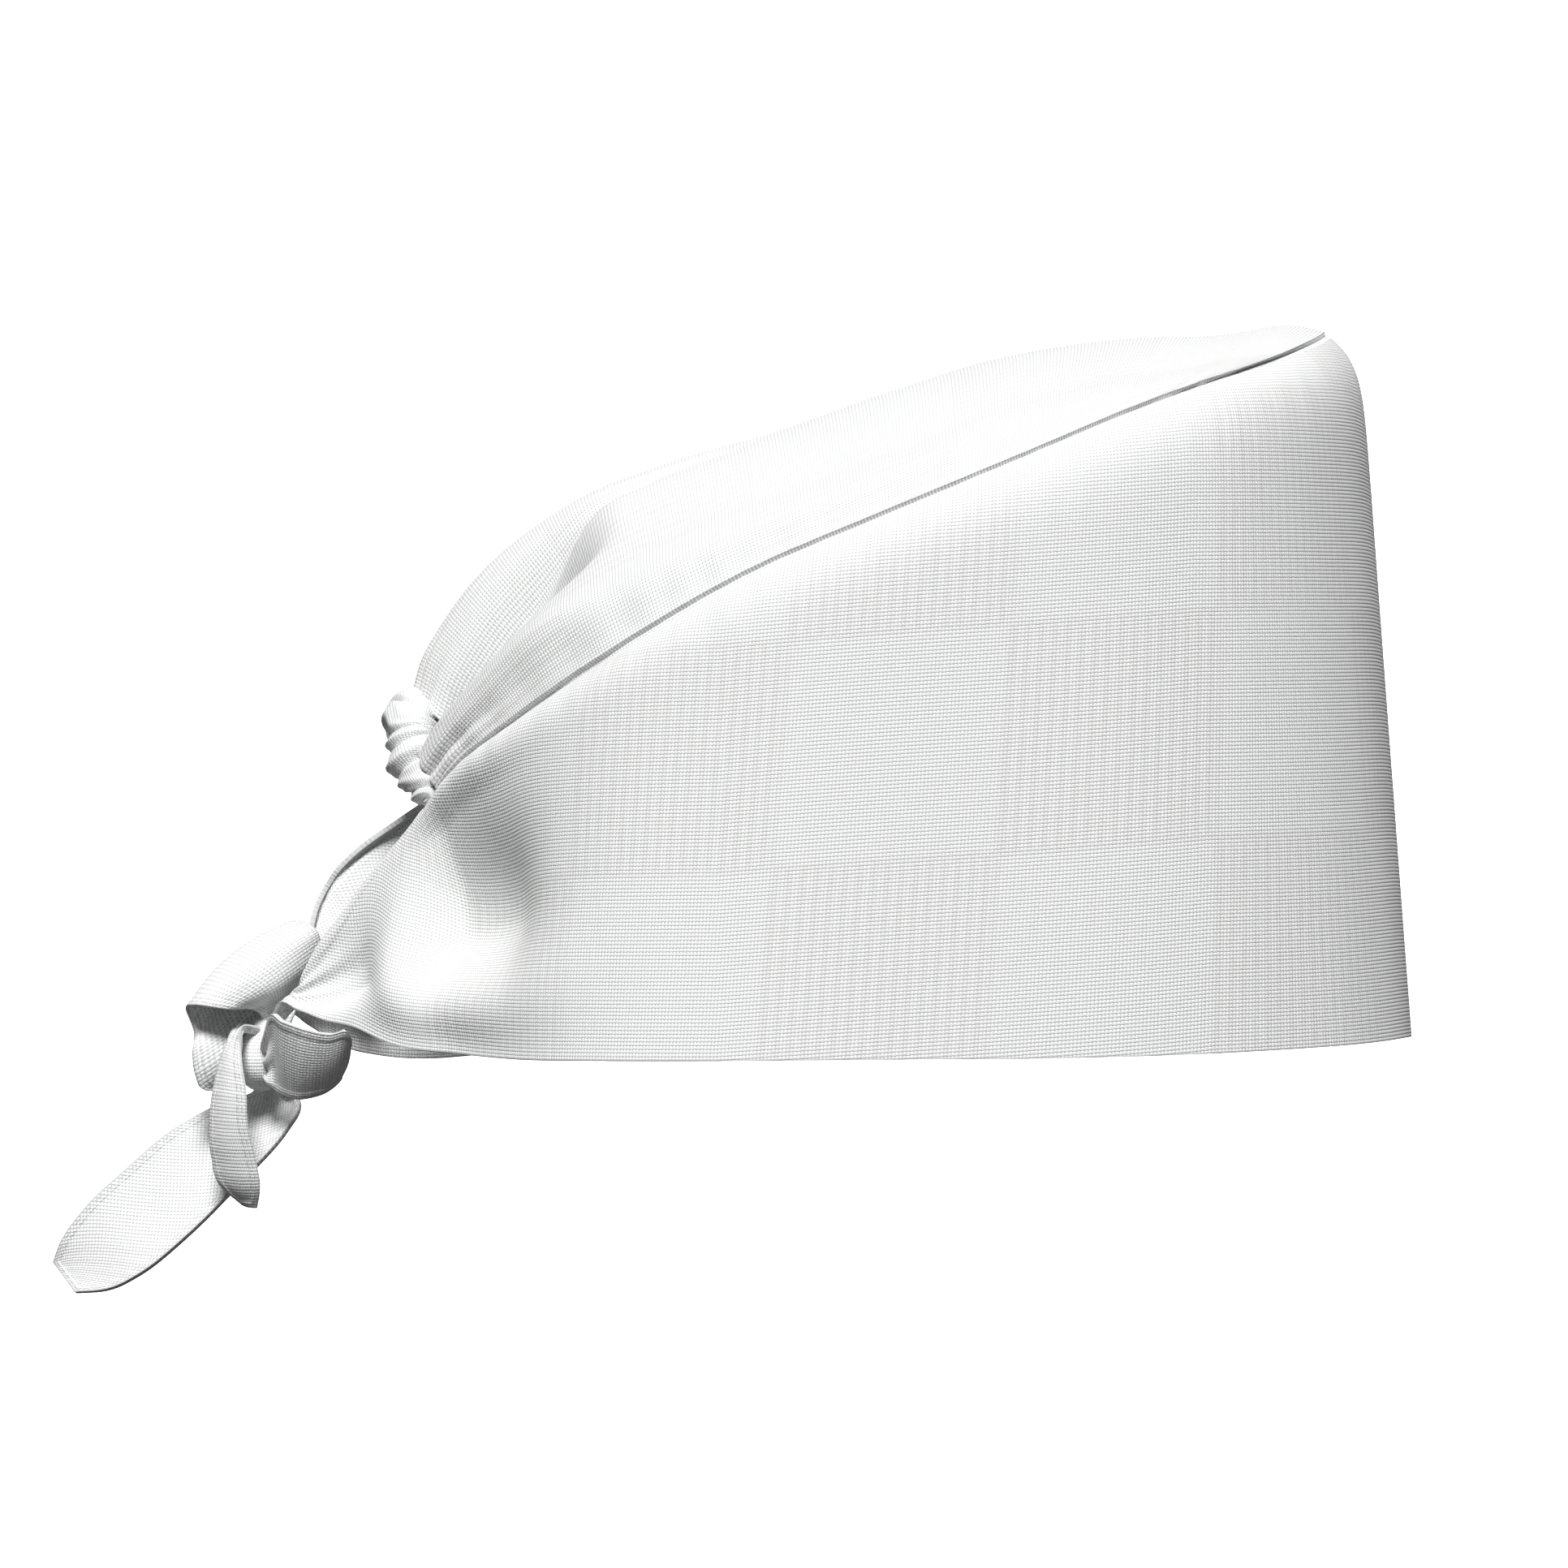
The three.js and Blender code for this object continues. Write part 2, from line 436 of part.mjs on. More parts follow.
// The middle of the knot, where the two ends of the band meet.
const knotMiddle = new THREE.Vector3(-knotReach - 0.3 * knotLength, 0, knotLift);

// The knot is a rounded lump, a little narrower at its top; grown adds clearance all round.
function knotLump(grown) {
  const geometry = new THREE.SphereGeometry(1, 20, 14);
  const position = geometry.getAttribute("position");
  for (let i = 0; i < position.count; i += 1) {
    const unit = new THREE.Vector3().fromBufferAttribute(position, i);
    const narrow = 1 - 0.18 * unit.z;
    position.setXYZ(
      i,
      knotMiddle.x + unit.x * (knotLength * narrow + grown) + knotLean * unit.z,
      knotMiddle.y + unit.y * (knotBreadth * narrow + grown),
      knotMiddle.z + unit.z * (knotHeight + grown),
    );
  }
  return geometry;
}

// A strip of tie between the two edges of its table.
function tieStrip(rows, lengthCount, widthCount = 5) {
  const edge = (name, at) => new THREE.Vector3(
    column(rows, name + "X", at),
    column(rows, name + "Y", at),
    column(rows, name + "Z", at),
  ).multiplyScalar(tieWidth).add(knotMiddle);
  const surface = (u, v) => {
    const a = edge("a", u);
    const b = edge("b", u);
    const step = 0.01;
    const run = edge("a", Math.min(1, u + step)).add(edge("b", Math.min(1, u + step)));
    run.sub(edge("a", Math.max(0, u - step))).sub(edge("b", Math.max(0, u - step)));
    const out = b.clone().sub(a).cross(run).normalize();
    const swell = column(rows, "round", u) * tieWidth * 4 * v * (1 - v);
    return a.lerp(b, v).addScaledVector(out, swell);
  };
  return clothWall((u, v) => surface(u, 1 - v), lengthCount, widthCount);
}

// A closed geometry as a solid that can be cut, and back.
function solidOf(geometry) {
  const plain = geometry.clone();
  plain.deleteAttribute("normal");
  plain.deleteAttribute("uv");
  const merged = mergeVertices(plain, 1e-5);
  const vertProperties = Float32Array.from(merged.getAttribute("position").array);
  const triVerts = Uint32Array.from(merged.getIndex().array);
  return new wasm.Manifold(new wasm.Mesh({ numProp: 3, vertProperties, triVerts }));
}

function geometryOf(solid) {
  const mesh = solid.getMesh();
  const geometry = new THREE.BufferGeometry();
  geometry.setAttribute("position", new THREE.BufferAttribute(new Float32Array(mesh.vertProperties), 3));
  geometry.setIndex(new THREE.BufferAttribute(new Uint32Array(mesh.triVerts), 1));
  return geometry;
}

// A tie or a band end stops where the knot begins.
function clearOfKnot(geometry) {
  return geometryOf(solidOf(geometry).subtract(solidOf(knotLump(seamGap))));
}

const cap = new THREE.Group();

function addPiece(name, geometry, colour, roughness = 0.9) {
  geometry.computeVertexNormals();
  const material = new THREE.MeshStandardMaterial({ color: colour, roughness, metalness: 0 });
  const mesh = new THREE.Mesh(geometry, material);
  mesh.name = name;
  cap.add(mesh);
}

addPiece("side_band", clearOfKnot(sideBand()), 0xf4f5f4);
addPiece("crown", crownPanel(), 0xf7f8f7);
addPiece("rear_casing", rearCasing(), 0xf7f8f7);
addPiece("knot_wrap", knotLump(0), 0xf2f3f2);
addPiece("upper_loop", clearOfKnot(tieStrip(upperLoop, 40)), 0xf4f5f4);
addPiece("near_loop", clearOfKnot(tieStrip(nearLoop, 36)), 0xf4f5f4);
addPiece("short_tail", clearOfKnot(tieStrip(shortTail, 26)), 0xf4f5f4);
addPiece("long_tail", clearOfKnot(tieStrip(longTail, 30)), 0xf4f5f4);

export default cap;
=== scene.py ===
from math import pi
import bpy
import numpy as np
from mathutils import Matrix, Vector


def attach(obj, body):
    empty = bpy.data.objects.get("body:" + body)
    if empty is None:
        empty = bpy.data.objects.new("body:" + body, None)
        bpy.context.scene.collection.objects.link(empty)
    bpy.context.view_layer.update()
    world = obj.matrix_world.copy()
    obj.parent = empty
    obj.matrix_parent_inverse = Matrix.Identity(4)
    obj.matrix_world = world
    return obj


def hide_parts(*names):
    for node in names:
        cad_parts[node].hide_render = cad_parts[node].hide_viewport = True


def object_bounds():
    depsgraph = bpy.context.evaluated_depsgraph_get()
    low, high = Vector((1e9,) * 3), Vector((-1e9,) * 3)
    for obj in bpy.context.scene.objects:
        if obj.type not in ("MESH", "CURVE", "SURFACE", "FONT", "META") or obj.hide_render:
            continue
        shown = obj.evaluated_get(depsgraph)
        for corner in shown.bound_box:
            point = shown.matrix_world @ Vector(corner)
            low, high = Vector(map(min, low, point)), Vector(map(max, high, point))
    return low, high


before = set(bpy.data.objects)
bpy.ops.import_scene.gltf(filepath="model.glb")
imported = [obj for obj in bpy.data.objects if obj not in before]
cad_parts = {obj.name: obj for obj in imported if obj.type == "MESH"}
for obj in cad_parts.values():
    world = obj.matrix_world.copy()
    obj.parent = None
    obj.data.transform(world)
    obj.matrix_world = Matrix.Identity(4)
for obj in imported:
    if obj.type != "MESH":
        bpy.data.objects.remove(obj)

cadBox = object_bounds()
root = "root"

# A white tie-back work cap: band, crown with its gathered casing, and the bow of its ties.
# +X is ahead of the wearer, +Y to the wearer's left, +Z up, in metres.
# Shares run along a piece from 0 to 1, or from -1 on the right to 1 on the left.

cut = dict(
    frontReach=0.1144, knotReach=0.127, rimHalfWidth=0.082, frontHeight=0.150,
    crownFrontReach=0.0978, crownRearReach=0.0935, crownHalfWidth=0.071, crownTop=0.1534,
    frontArcShare=0.22, cornerShare=0.87, tieWidth=0.020, foldDepth=0.006,
    clothThickness=0.0011,   # a hemmed edge
    threadPitch=0.00075,     # one thread of the weave
    squareSide=0.0455,       # the faint squares, each with sixteen stripes or none
)


# Tables and small formulas
def table(names, rows):
    # one array for each named column
    return dict(zip(names.split(), np.array(rows, dtype=float).T))


def follow(rows, name, share):
    # cubic through the table's rows; its slope at a row is the mean of the slopes on both sides,
    # where the nearer row counts more
    at, value = rows["at"], rows[name]
    share = np.asarray(share, dtype=float)
    step = np.diff(at)
    slope = np.diff(value) / step
    between = (slope[:-1] * step[1:] + slope[1:] * step[:-1]) / (step[1:] + step[:-1])
    tangent = np.concatenate((slope[:1], between, slope[-1:]))
    k = np.clip(np.searchsorted(at, share, side="right") - 1, 0, len(at) - 2)
    s = np.clip((share - at[k]) / step[k], 0, 1)
    base = value[k] * (1 + 2 * s) * (1 - s) ** 2 + value[k + 1] * (3 - 2 * s) * s * s
    return base + step[k] * (tangent[k] * s * (1 - s) ** 2 - tangent[k + 1] * (1 - s) * s * s)


def bell(distance, spread):
    # one in the middle, falling with the square of the distance over the spread
    return np.exp(-(distance / spread) ** 2)


def ramp(value, low, high):
    # nought below low, one above high, an even S between
    s = np.clip((value - low) / (high - low), 0, 1)
    return s * s * (3 - 2 * s)


def unit(vectors):
    # each vector over its length
    return vectors / np.maximum(np.linalg.norm(vectors, axis=-1, keepdims=True), 1e-12)


def runLength(points):
    # sum of the steps along the first axis, from nought at its start
    steps = np.linalg.norm(np.diff(points, axis=0), axis=-1)
    return np.concatenate((np.zeros_like(steps[:1]), np.cumsum(steps, axis=0)), axis=0)


def clothArea(grid):
    # half the length of the cross product of each small square's diagonals, summed
    rising = grid[1:, 1:] - grid[:-1, :-1]
    falling = grid[:-1, 1:] - grid[1:, :-1]
    return 0.5 * np.linalg.norm(np.cross(rising, falling), axis=-1).sum()


# Meshes from grids
def newPiece(name, points, faces, uv, hem):
    # four-sided faces from arrays, with the cloth's map and the distance from its hem
    mesh = bpy.data.meshes.new(name)
    mesh.vertices.add(len(points))
    mesh.vertices.foreach_set("co", points.astype(np.float32).ravel())
    mesh.loops.add(faces.size)
    mesh.loops.foreach_set("vertex_index", faces.astype(np.int32).ravel())
    mesh.polygons.add(len(faces))
    mesh.polygons.foreach_set("loop_start", (np.arange(len(faces)) * faces.shape[1]).astype(np.int32))
    mesh.polygons.foreach_set("use_smooth", np.ones(len(faces), dtype=bool))
    layer = mesh.uv_layers.new(name="cloth")
    layer.data.foreach_set("uv", uv[faces.ravel()].astype(np.float32).ravel())
    if hem is not None:
        mesh.attributes.new("hem", "FLOAT", "POINT").data.foreach_set("value", hem.astype(np.float32))
    mesh.update(calc_edges=True)
    mesh.validate()
    piece = bpy.data.objects.new(name, mesh)
    bpy.context.scene.collection.objects.link(piece)
    return piece


def gridFaces(columns, rows, base=0):
    # the four corners of each small square, numbered from base, a column at a time
    i, j = np.meshgrid(np.arange(columns - 1), np.arange(rows - 1), indexing="ij")
    a = (i * rows + j).ravel() + base
    return np.stack((a, a + rows, a + rows + 1, a + 1), axis=1)


def gridNormals(grid):
    # square to both directions of the grid, out where u then v turn anticlockwise
    return unit(np.cross(np.gradient(grid, axis=0), np.gradient(grid, axis=1)))


def clothPiece(name, grid, uv, thickness, seamInto=None, hem=None):
    # a closed sheet: the grid is its face, the lining lies one thickness inside it, and four borders
    # join them; at a seam the step inside follows seamInto, a direction and a share of it
    n, m = grid.shape[:2]
    into = -gridNormals(grid)
    if seamInto is not None:
        share = seamInto[1][..., None]
        into = unit(into * (1 - share) + seamInto[0] * share)
    lining = grid + into * thickness
    face = gridFaces(n, m)
    back = gridFaces(n, m, n * m)[:, ::-1]
    border = np.concatenate((np.arange(n) * m, (n - 1) * m + np.arange(1, m),
                             (np.arange(n - 2, -1, -1)) * m + m - 1, np.arange(m - 2, 0, -1)))
    after = np.roll(border, -1)
    sides = np.stack((border, border + n * m, after + n * m, after), axis=1)
    points = np.concatenate((grid.reshape(-1, 3), lining.reshape(-1, 3)))
    uvAll = np.concatenate((uv.reshape(-1, 2),) * 2)
    hemAll = None if hem is None else np.concatenate((hem.ravel(),) * 2)
    return newPiece(name, points, np.concatenate((face, back, sides)), uvAll, hemAll)


def softenEdges(piece, width):
    # a round of the given width where face and border meet
    bevel = piece.modifiers.new("edge", "BEVEL")
    bevel.width = width
    bevel.segments = 2
    bevel.limit_method = "ANGLE"
    bevel.angle_limit = 1.1
    bevel.harden_normals = False


# The walls of the band, with the shares that the cap was cut to
wallRows = table("at rimX rimY rimZ topX topY topZ", [
    [-0.08, 0.966, -0.370, 0.021, 0.955, -0.370, 0.979],
    [0.00, 1.000, 0.000, 0.017, 1.000, 0.000, 1.000],
    [0.08, 0.966, 0.370, 0.021, 0.955, 0.370, 0.979],
    [0.16, 0.866, 0.620, 0.018, 0.862, 0.630, 0.950],
    [0.24, 0.707, 0.800, 0.014, 0.726, 0.820, 0.918],
    [0.32, 0.530, 0.910, 0.010, 0.553, 0.930, 0.874],
    [0.42, 0.276, 0.984, 0.007, 0.305, 0.988, 0.804],
    [0.52, 0.017, 1.000, 0.006, 0.020, 1.000, 0.726],
    [0.62, -0.220, 0.982, 0.004, -0.278, 0.944, 0.646],
    [0.71, -0.425, 0.890, 0.002, -0.545, 0.796, 0.552],
    [0.79, -0.598, 0.720, 0.000, -0.770, 0.556, 0.463],
    [0.85, -0.709, 0.537, 0.003, -0.920, 0.366, 0.392],
    [0.89, -0.780, 0.395, 0.009, -1.000, 0.260, 0.327],
    [0.93, -0.850, 0.275, 0.034, -1.117, 0.190, 0.242],
    [0.95, -0.875, 0.225, 0.038, -1.180, 0.155, 0.191],
    [0.965, -0.900, 0.195, 0.042, -1.232, 0.120, 0.152],
    [0.98, -0.945, 0.150, 0.055, -1.268, 0.085, 0.108],
    [0.992, -0.983, 0.095, 0.062, -1.285, 0.060, 0.070],
    [1.00, -1.000, 0.050, 0.022, -1.355, 0.035, 0.022],
])
leftSag = table("at rimZ topX topZ", [
    [0.00, 0.0, 0.0, 0.0], [0.52, -0.004, 0.0, 0.0], [0.70, -0.014, 0.0, 0.0], [0.80, -0.020, 0.0, 0.0],
    [0.89, -0.034, -0.012, 0.008], [0.93, -0.050, -0.030, 0.030], [0.965, -0.040, -0.018, 0.040],
    [1.00, -0.006, 0.0, 0.010],
])
# middle of each dent along and up the wall, its spreads before and after, below and above, and how far it
# stands out, in fold depths
wallDents = [
    dict(at=0.862, up=0.43, before=0.078, after=0.021, below=0.19, above=0.44, out=-2.00),   # gather valley
    dict(at=0.804, up=0.44, before=0.032, after=0.046, below=0.26, above=0.24, out=-0.70),   # hollow ahead
    dict(at=0.895, up=0.30, before=0.020, after=0.030, below=0.20, above=0.30, out=0.45),    # ridge behind
    dict(at=0.940, up=0.30, before=0.030, after=0.030, below=0.13, above=0.38, out=-0.75),   # knot pocket
    dict(at=0.845, up=0.00, before=0.080, after=0.050, below=0.15, above=0.15, out=-0.90),   # turned rim
]
wallStep = 0.004   # share over which the wall's run is taken


def rimPoints(side, at):
    # the rim: the table's shares times the cap's sizes, a little lower on the left
    x = follow(wallRows, "rimX", at)
    y = side * follow(wallRows, "rimY", at) * cut["rimHalfWidth"]
    z = follow(wallRows, "rimZ", at) + np.where(side > 0, follow(leftSag, "rimZ", at), 0)
    reach = np.where(x > 0, cut["frontReach"], cut["knotReach"])
    return np.stack((x * reach, y, z * cut["frontHeight"]), axis=-1)


def topPoints(side, at):
    # the band's upper edge, the same way
    left = np.where(side > 0, 1.0, 0.0)
    x = follow(wallRows, "topX", at) + left * follow(leftSag, "topX", at)
    y = side * follow(wallRows, "topY", at) * cut["crownHalfWidth"]
    z = follow(wallRows, "topZ", at) + left * follow(leftSag, "topZ", at)
    reach = np.where(x > 0, cut["crownFrontReach"], cut["crownRearReach"])
    return np.stack((x * reach, y, z * cut["frontHeight"]), axis=-1)


def outOfWall(side, at):
    # level and square to the rim's run, straight ahead at the forehead
    run = rimPoints(side, np.minimum(at + wallStep, 1)) - rimPoints(side, at - wallStep)
    return unit(np.stack((side * run[..., 1], -side * run[..., 0], np.zeros_like(at)), axis=-1))


def intoSeam(side, at):
    # from the seam towards the middle of the cap, square to the seam's run
    seam = topPoints(side, at)
    middle = np.array([-0.1 * cut["crownRearReach"], 0, 0.35 * cut["frontHeight"]])
    run = unit(topPoints(side, np.minimum(at + wallStep, 1)) - topPoints(side, at - wallStep))
    inward = unit(middle - seam)
    return unit(inward - np.sum(inward * run, axis=-1, keepdims=True) * run)


bandSettings = dict(
    columns=500, rows=88, crowding=1.25,          # columns closer towards the knot
    fullness=0.006, endFullness=0.15, shoulder=28, clearFrom=0.82,
    collarFrom=(0.85, 0.90), collarTo=(0.95, 0.985), flare=0.0045,
    lean=0.068, leanFrom=(0.05, 0.30), rise=0.06, riseFrom=0.09, riseRun=0.10,
    hemWidth=0.0045, hemRise=0.0003, freeFrom=0.01,
    pucker=0.00008, puckerWaves=(0.0071, 0.043, 0.0113), pleat=0.0005, pleats=3.5, pleatFrom=(0.92, 0.985),
)


def bandSurface(along, up):
    # straight lines from rim to top, swelling by up minus a high power of up, plus the dents' bells
    s = bandSettings
    side = np.where(along < 0, -1.0, 1.0)
    at = np.abs(along)
    full = s["endFullness"] + (1 - s["endFullness"]) * (1 - ramp(at, 0.8, 1))
    out = s["fullness"] * full[:, None] * (up - up ** s["shoulder"])[None]
    clear = 1 - ramp(up, s["clearFrom"], 1)
    for dent in wallDents:
        spreadAt = np.where(at < dent["at"], dent["before"], dent["after"])
        spreadUp = np.where(up < dent["up"], dent["below"], dent["above"])
        dip = bell(at - dent["at"], spreadAt)[:, None] * (clear * bell(up - dent["up"], spreadUp))[None]
        out = out + cut["foldDepth"] * dent["out"] * dip
    # the left free edge turns out like a collar
    collar = np.where(side > 0, ramp(at, *s["collarFrom"]) * (1 - ramp(at, *s["collarTo"])), 0)
    out = out + s["flare"] * collar[:, None] * ramp(up, 0.6, 1)[None] ** 2
    rim, top = rimPoints(side, at), topPoints(side, at)
    grid = rim[:, None] * (1 - up)[None, :, None] + top[:, None] * up[None, :, None]
    return grid + out[..., None] * outOfWall(side, at)[:, None]


def makeBand():
    # the band's surface with its hems, puckers and pleats, which are sines of the cloth's own lengths
    s = bandSettings
    along = np.linspace(-1, 1, s["columns"])
    along = np.sign(along) * (1 - (1 - np.abs(along)) ** s["crowding"])
    turn = np.cos(pi * np.linspace(0, 1, s["rows"]))
    up = 0.5 - 0.5 * turn * (0.75 + 0.25 * turn ** 2)   # rows closer at the rim and the shoulder
    grid = bandSurface(along, up)
    middle = grid[:, s["rows"] // 2]
    u = runLength(middle)
    u -= u[s["columns"] // 2]
    height = runLength(np.swapaxes(grid, 0, 1)).T
    # the cloth's upright lines lean back a little at the sides, its level ones climb behind
    lean = s["lean"] * ramp(np.abs(along), *s["leanFrom"])[:, None] * height * np.sign(along)[:, None]
    rise = s["rise"] * np.clip(np.abs(u) - s["riseFrom"], 0, s["riseRun"])[:, None]
    uv = np.stack((u[:, None] + lean, height + rise), axis=-1)
    free = np.abs(along) > cut["cornerShare"] + s["freeFrom"]
    fromFree = np.where(free[:, None], height[:, -1:] - height, 1.0)
    hemShape = 1 - ramp(fromFree, s["hemWidth"] * 0.9, s["hemWidth"] * 1.1)
    # small puckers under the seam, and pleats that run into the knot
    sewn = 1 - ramp(np.abs(along), cut["cornerShare"] - 0.05, cut["cornerShare"])
    short, long, other = s["puckerWaves"]
    wave = np.sin(2 * pi * u / short + 1.7 * np.sin(2 * pi * u / long)) + 0.6 * np.sin(2 * pi * u / other)
    pucker = s["pucker"] * (sewn * wave)[:, None] * (ramp(up, 0.86, 0.95) * (1 - ramp(up, 0.97, 1)))[None]
    tied = ramp(np.abs(along), *s["pleatFrom"])[:, None]
    pleat = s["pleat"] * tied * np.sin(2 * pi * s["pleats"] * up + 0.8)[None] * np.sin(pi * up)[None]
    grid = grid + gridNormals(grid) * (s["hemRise"] * hemShape + pucker + pleat)[..., None]
    seam = (np.abs(along) <= cut["cornerShare"])[:, None] * ramp(up, 0.97, 1)[None]
    into = intoSeam(np.where(along < 0, -1.0, 1.0), np.abs(along))[:, None]
    hem = np.minimum(height, fromFree)
    return clothPiece("sideBand", grid, uv, cut["clothThickness"], (into, seam), hem), grid


# The crown
ridgeRows = table("at ahead high", [
    [0.00, 1.000, 0.980], [0.06, 0.905, 0.990], [0.13, 0.760, 0.976], [0.22, 0.550, 0.970],
    [0.32, 0.300, 0.946], [0.44, 0.050, 0.898], [0.56, -0.210, 0.842], [0.68, -0.470, 0.796],
    [0.78, -0.700, 0.738], [0.86, -0.880, 0.656], [0.93, -0.995, 0.558], [1.00, -1.032, 0.494],
])
# each fold's middle where it starts and at the gather, the share of the crown where it starts, the share of
# its own run where it is full, its spreads to right and left, and its depth in fold depths
crownFolds = [
    dict(start=-0.56, end=-0.55, back=0.72, full=0.50, right=0.09, left=0.26, deep=3.20),   # right hollow
    dict(start=-0.14, end=-0.36, back=0.50, full=0.50, right=0.06, left=0.05, deep=0.40),   # right crease
    dict(start=-0.83, end=-0.80, back=0.74, full=0.35, right=0.06, left=0.06, deep=-0.35),   # right ridge
    dict(start=-0.28, end=-0.30, back=0.72, full=0.35, right=0.07, left=0.08, deep=0.35),   # upper hollow
    dict(start=0.02, end=0.02, back=0.64, full=0.45, right=0.08, left=0.10, deep=0.25),    # ridge valley
    dict(start=0.34, end=0.40, back=0.56, full=0.45, right=0.10, left=0.10, deep=0.85),    # left inner valley
    dict(start=0.66, end=0.62, back=0.74, full=0.30, right=0.10, left=0.10, deep=1.20),    # left outer valley
]
crownSettings = dict(
    columns=240, rows=180, archPower=2.1, gatherPower=1.35, frontBlend=0.4, overhang=0.003,
    pleat=0.0005, pleats=10.5, pleatFrom=0.84, pucker=0.00012, puckerWaves=(21, 3.1, 13.3),
    seamFrom=0.985, frontSeamTo=0.012,
)


def crownAt(back):
    # how far round the band the crown's seam is, a share that grows evenly with back
    return cut["frontArcShare"] + (cut["cornerShare"] - cut["frontArcShare"]) * back


def plainCrown(back, across):
    # each section: a line from seam to seam, lifted to the ridge by one minus a power of across
    s = crownSettings
    at = crownAt(back)
    right, left = topPoints(-np.ones_like(at), at), topPoints(np.ones_like(at), at)
    ahead = follow(ridgeRows, "ahead", back)
    reach = np.where(ahead > 0, cut["crownFrontReach"], cut["crownRearReach"])
    high = follow(ridgeRows, "high", back) * cut["crownTop"]
    ridge = np.stack((ahead * reach, np.zeros_like(at), high), axis=-1)
    power = s["archPower"] + (s["gatherPower"] - s["archPower"]) * ramp(back, 0.75, 1)
    arch = (1 - np.abs(across) ** power)[..., None]
    share = ((across + 1) / 2)[..., None]
    return right * (1 - share) + left * share + (ridge - (right + left) / 2) * arch


def crownSurface(back, across):
    # the plain crown, its front drawn out to the seam, its edge rolled over the seam, its back folded
    s = crownSettings
    side = np.where(across < 0, -1.0, 1.0)
    edge = np.abs(across)
    grid = plainCrown(back, across)
    wanted = topPoints(side, cut["frontArcShare"] * edge)
    toFront = np.clip(1 - back / s["frontBlend"], 0, None) ** 2
    grid = grid + (wanted - plainCrown(np.zeros_like(back), across)) * toFront[..., None]
    rolled = ramp(back, 0, 0.25) * (1 - 0.7 * ramp(back, 0.6, 0.9)) * np.sin(pi * ramp(edge, 0.7, 1))
    grid = grid + outOfWall(side, crownAt(back)) * (s["overhang"] * rolled)[..., None]
    sink = 0
    for fold in crownFolds:
        run = np.clip((back - fold["back"]) / (1 - fold["back"]), 0, 1)
        aside = across - fold["start"] - (fold["end"] - fold["start"]) * np.sqrt(run)
        spread = np.where(aside < 0, fold["right"], fold["left"])
        sink = sink + fold["deep"] * ramp(run, 0, fold["full"]) * bell(aside, spread)
    rear = ramp(back, 0.6, 1)
    down = unit(np.stack((1.6 * rear, 0.5 * rear, -np.ones_like(back)), axis=-1))
    return grid + down * (cut["foldDepth"] * sink * (1 - ramp(edge, 0.88, 1)))[..., None]


def makeCrown():
    # the crown's surface with fine pleats and puckers, which are sines of its shares
    s = crownSettings
    u = np.linspace(-1, 1, s["columns"])
    across = 0.7 * u + 0.3 * np.sin(pi * u / 2)
    back = np.linspace(1, 0, s["rows"])
    acrossGrid, backGrid = np.meshgrid(across, back, indexing="ij")
    grid = crownSurface(backGrid, acrossGrid)
    # pleats fan out of the gather, puckers run along the seam
    edge = np.abs(acrossGrid)
    fan = np.sin(2 * pi * s["pleats"] * acrossGrid + 1.4 * np.sin(6.1 * acrossGrid))
    fade = ramp(backGrid, s["pleatFrom"], 1) * (1 - ramp(edge, 0.93, 1))
    pleat = s["pleat"] * (0.7 * fan + 0.3 * fan ** 3) * fade
    run = 2 * pi * backGrid
    often, seldom, other = s["puckerWaves"]
    wave = np.sin(run * often + 1.7 * np.sin(run * seldom)) + 0.6 * np.sin(run * other)
    pucker = s["pucker"] * wave * ramp(edge, 0.80, 0.93) * (1 - ramp(edge, 0.96, 1))
    grid = grid - gridNormals(grid) * (pleat + pucker * ramp(backGrid, 0.03, 0.1))[..., None]
    width = runLength(grid[:, s["rows"] // 2])
    length = runLength(grid[s["columns"] // 2])
    uv = np.stack(np.meshgrid(length, width - width[s["columns"] // 2], indexing="xy")[::-1], axis=-1)
    side = np.where(acrossGrid < 0, -1.0, 1.0)
    at = np.where(backGrid < wallStep, cut["frontArcShare"] * edge, crownAt(backGrid))
    nearEdge = np.maximum(ramp(edge, s["seamFrom"], 1), 1 - ramp(backGrid, 0, s["frontSeamTo"]))
    return clothPiece("crownPanel", grid, uv, cut["clothThickness"], (intoSeam(side, at), nearEdge)), grid


# The gathered casing behind the crown
casingRows = table("at back down radius", [
    [0.00, 0.10, 0.80, 0.95], [0.30, 0.28, 0.80, 1.00], [0.60, 0.36, 0.85, 1.06], [0.85, 0.25, 0.75, 1.05],
    [1.00, 0.15, 0.50, 0.90],
])
casingSettings = dict(
    radius=0.0058, span=0.93, steps=460, sides=64, drawn=3.0,   # drawn: times the cloth is gathered
    ruffles=12, narrow=0.62, swell=0.36, small=0.035, leaning=0.045, lobe=0.22,
)


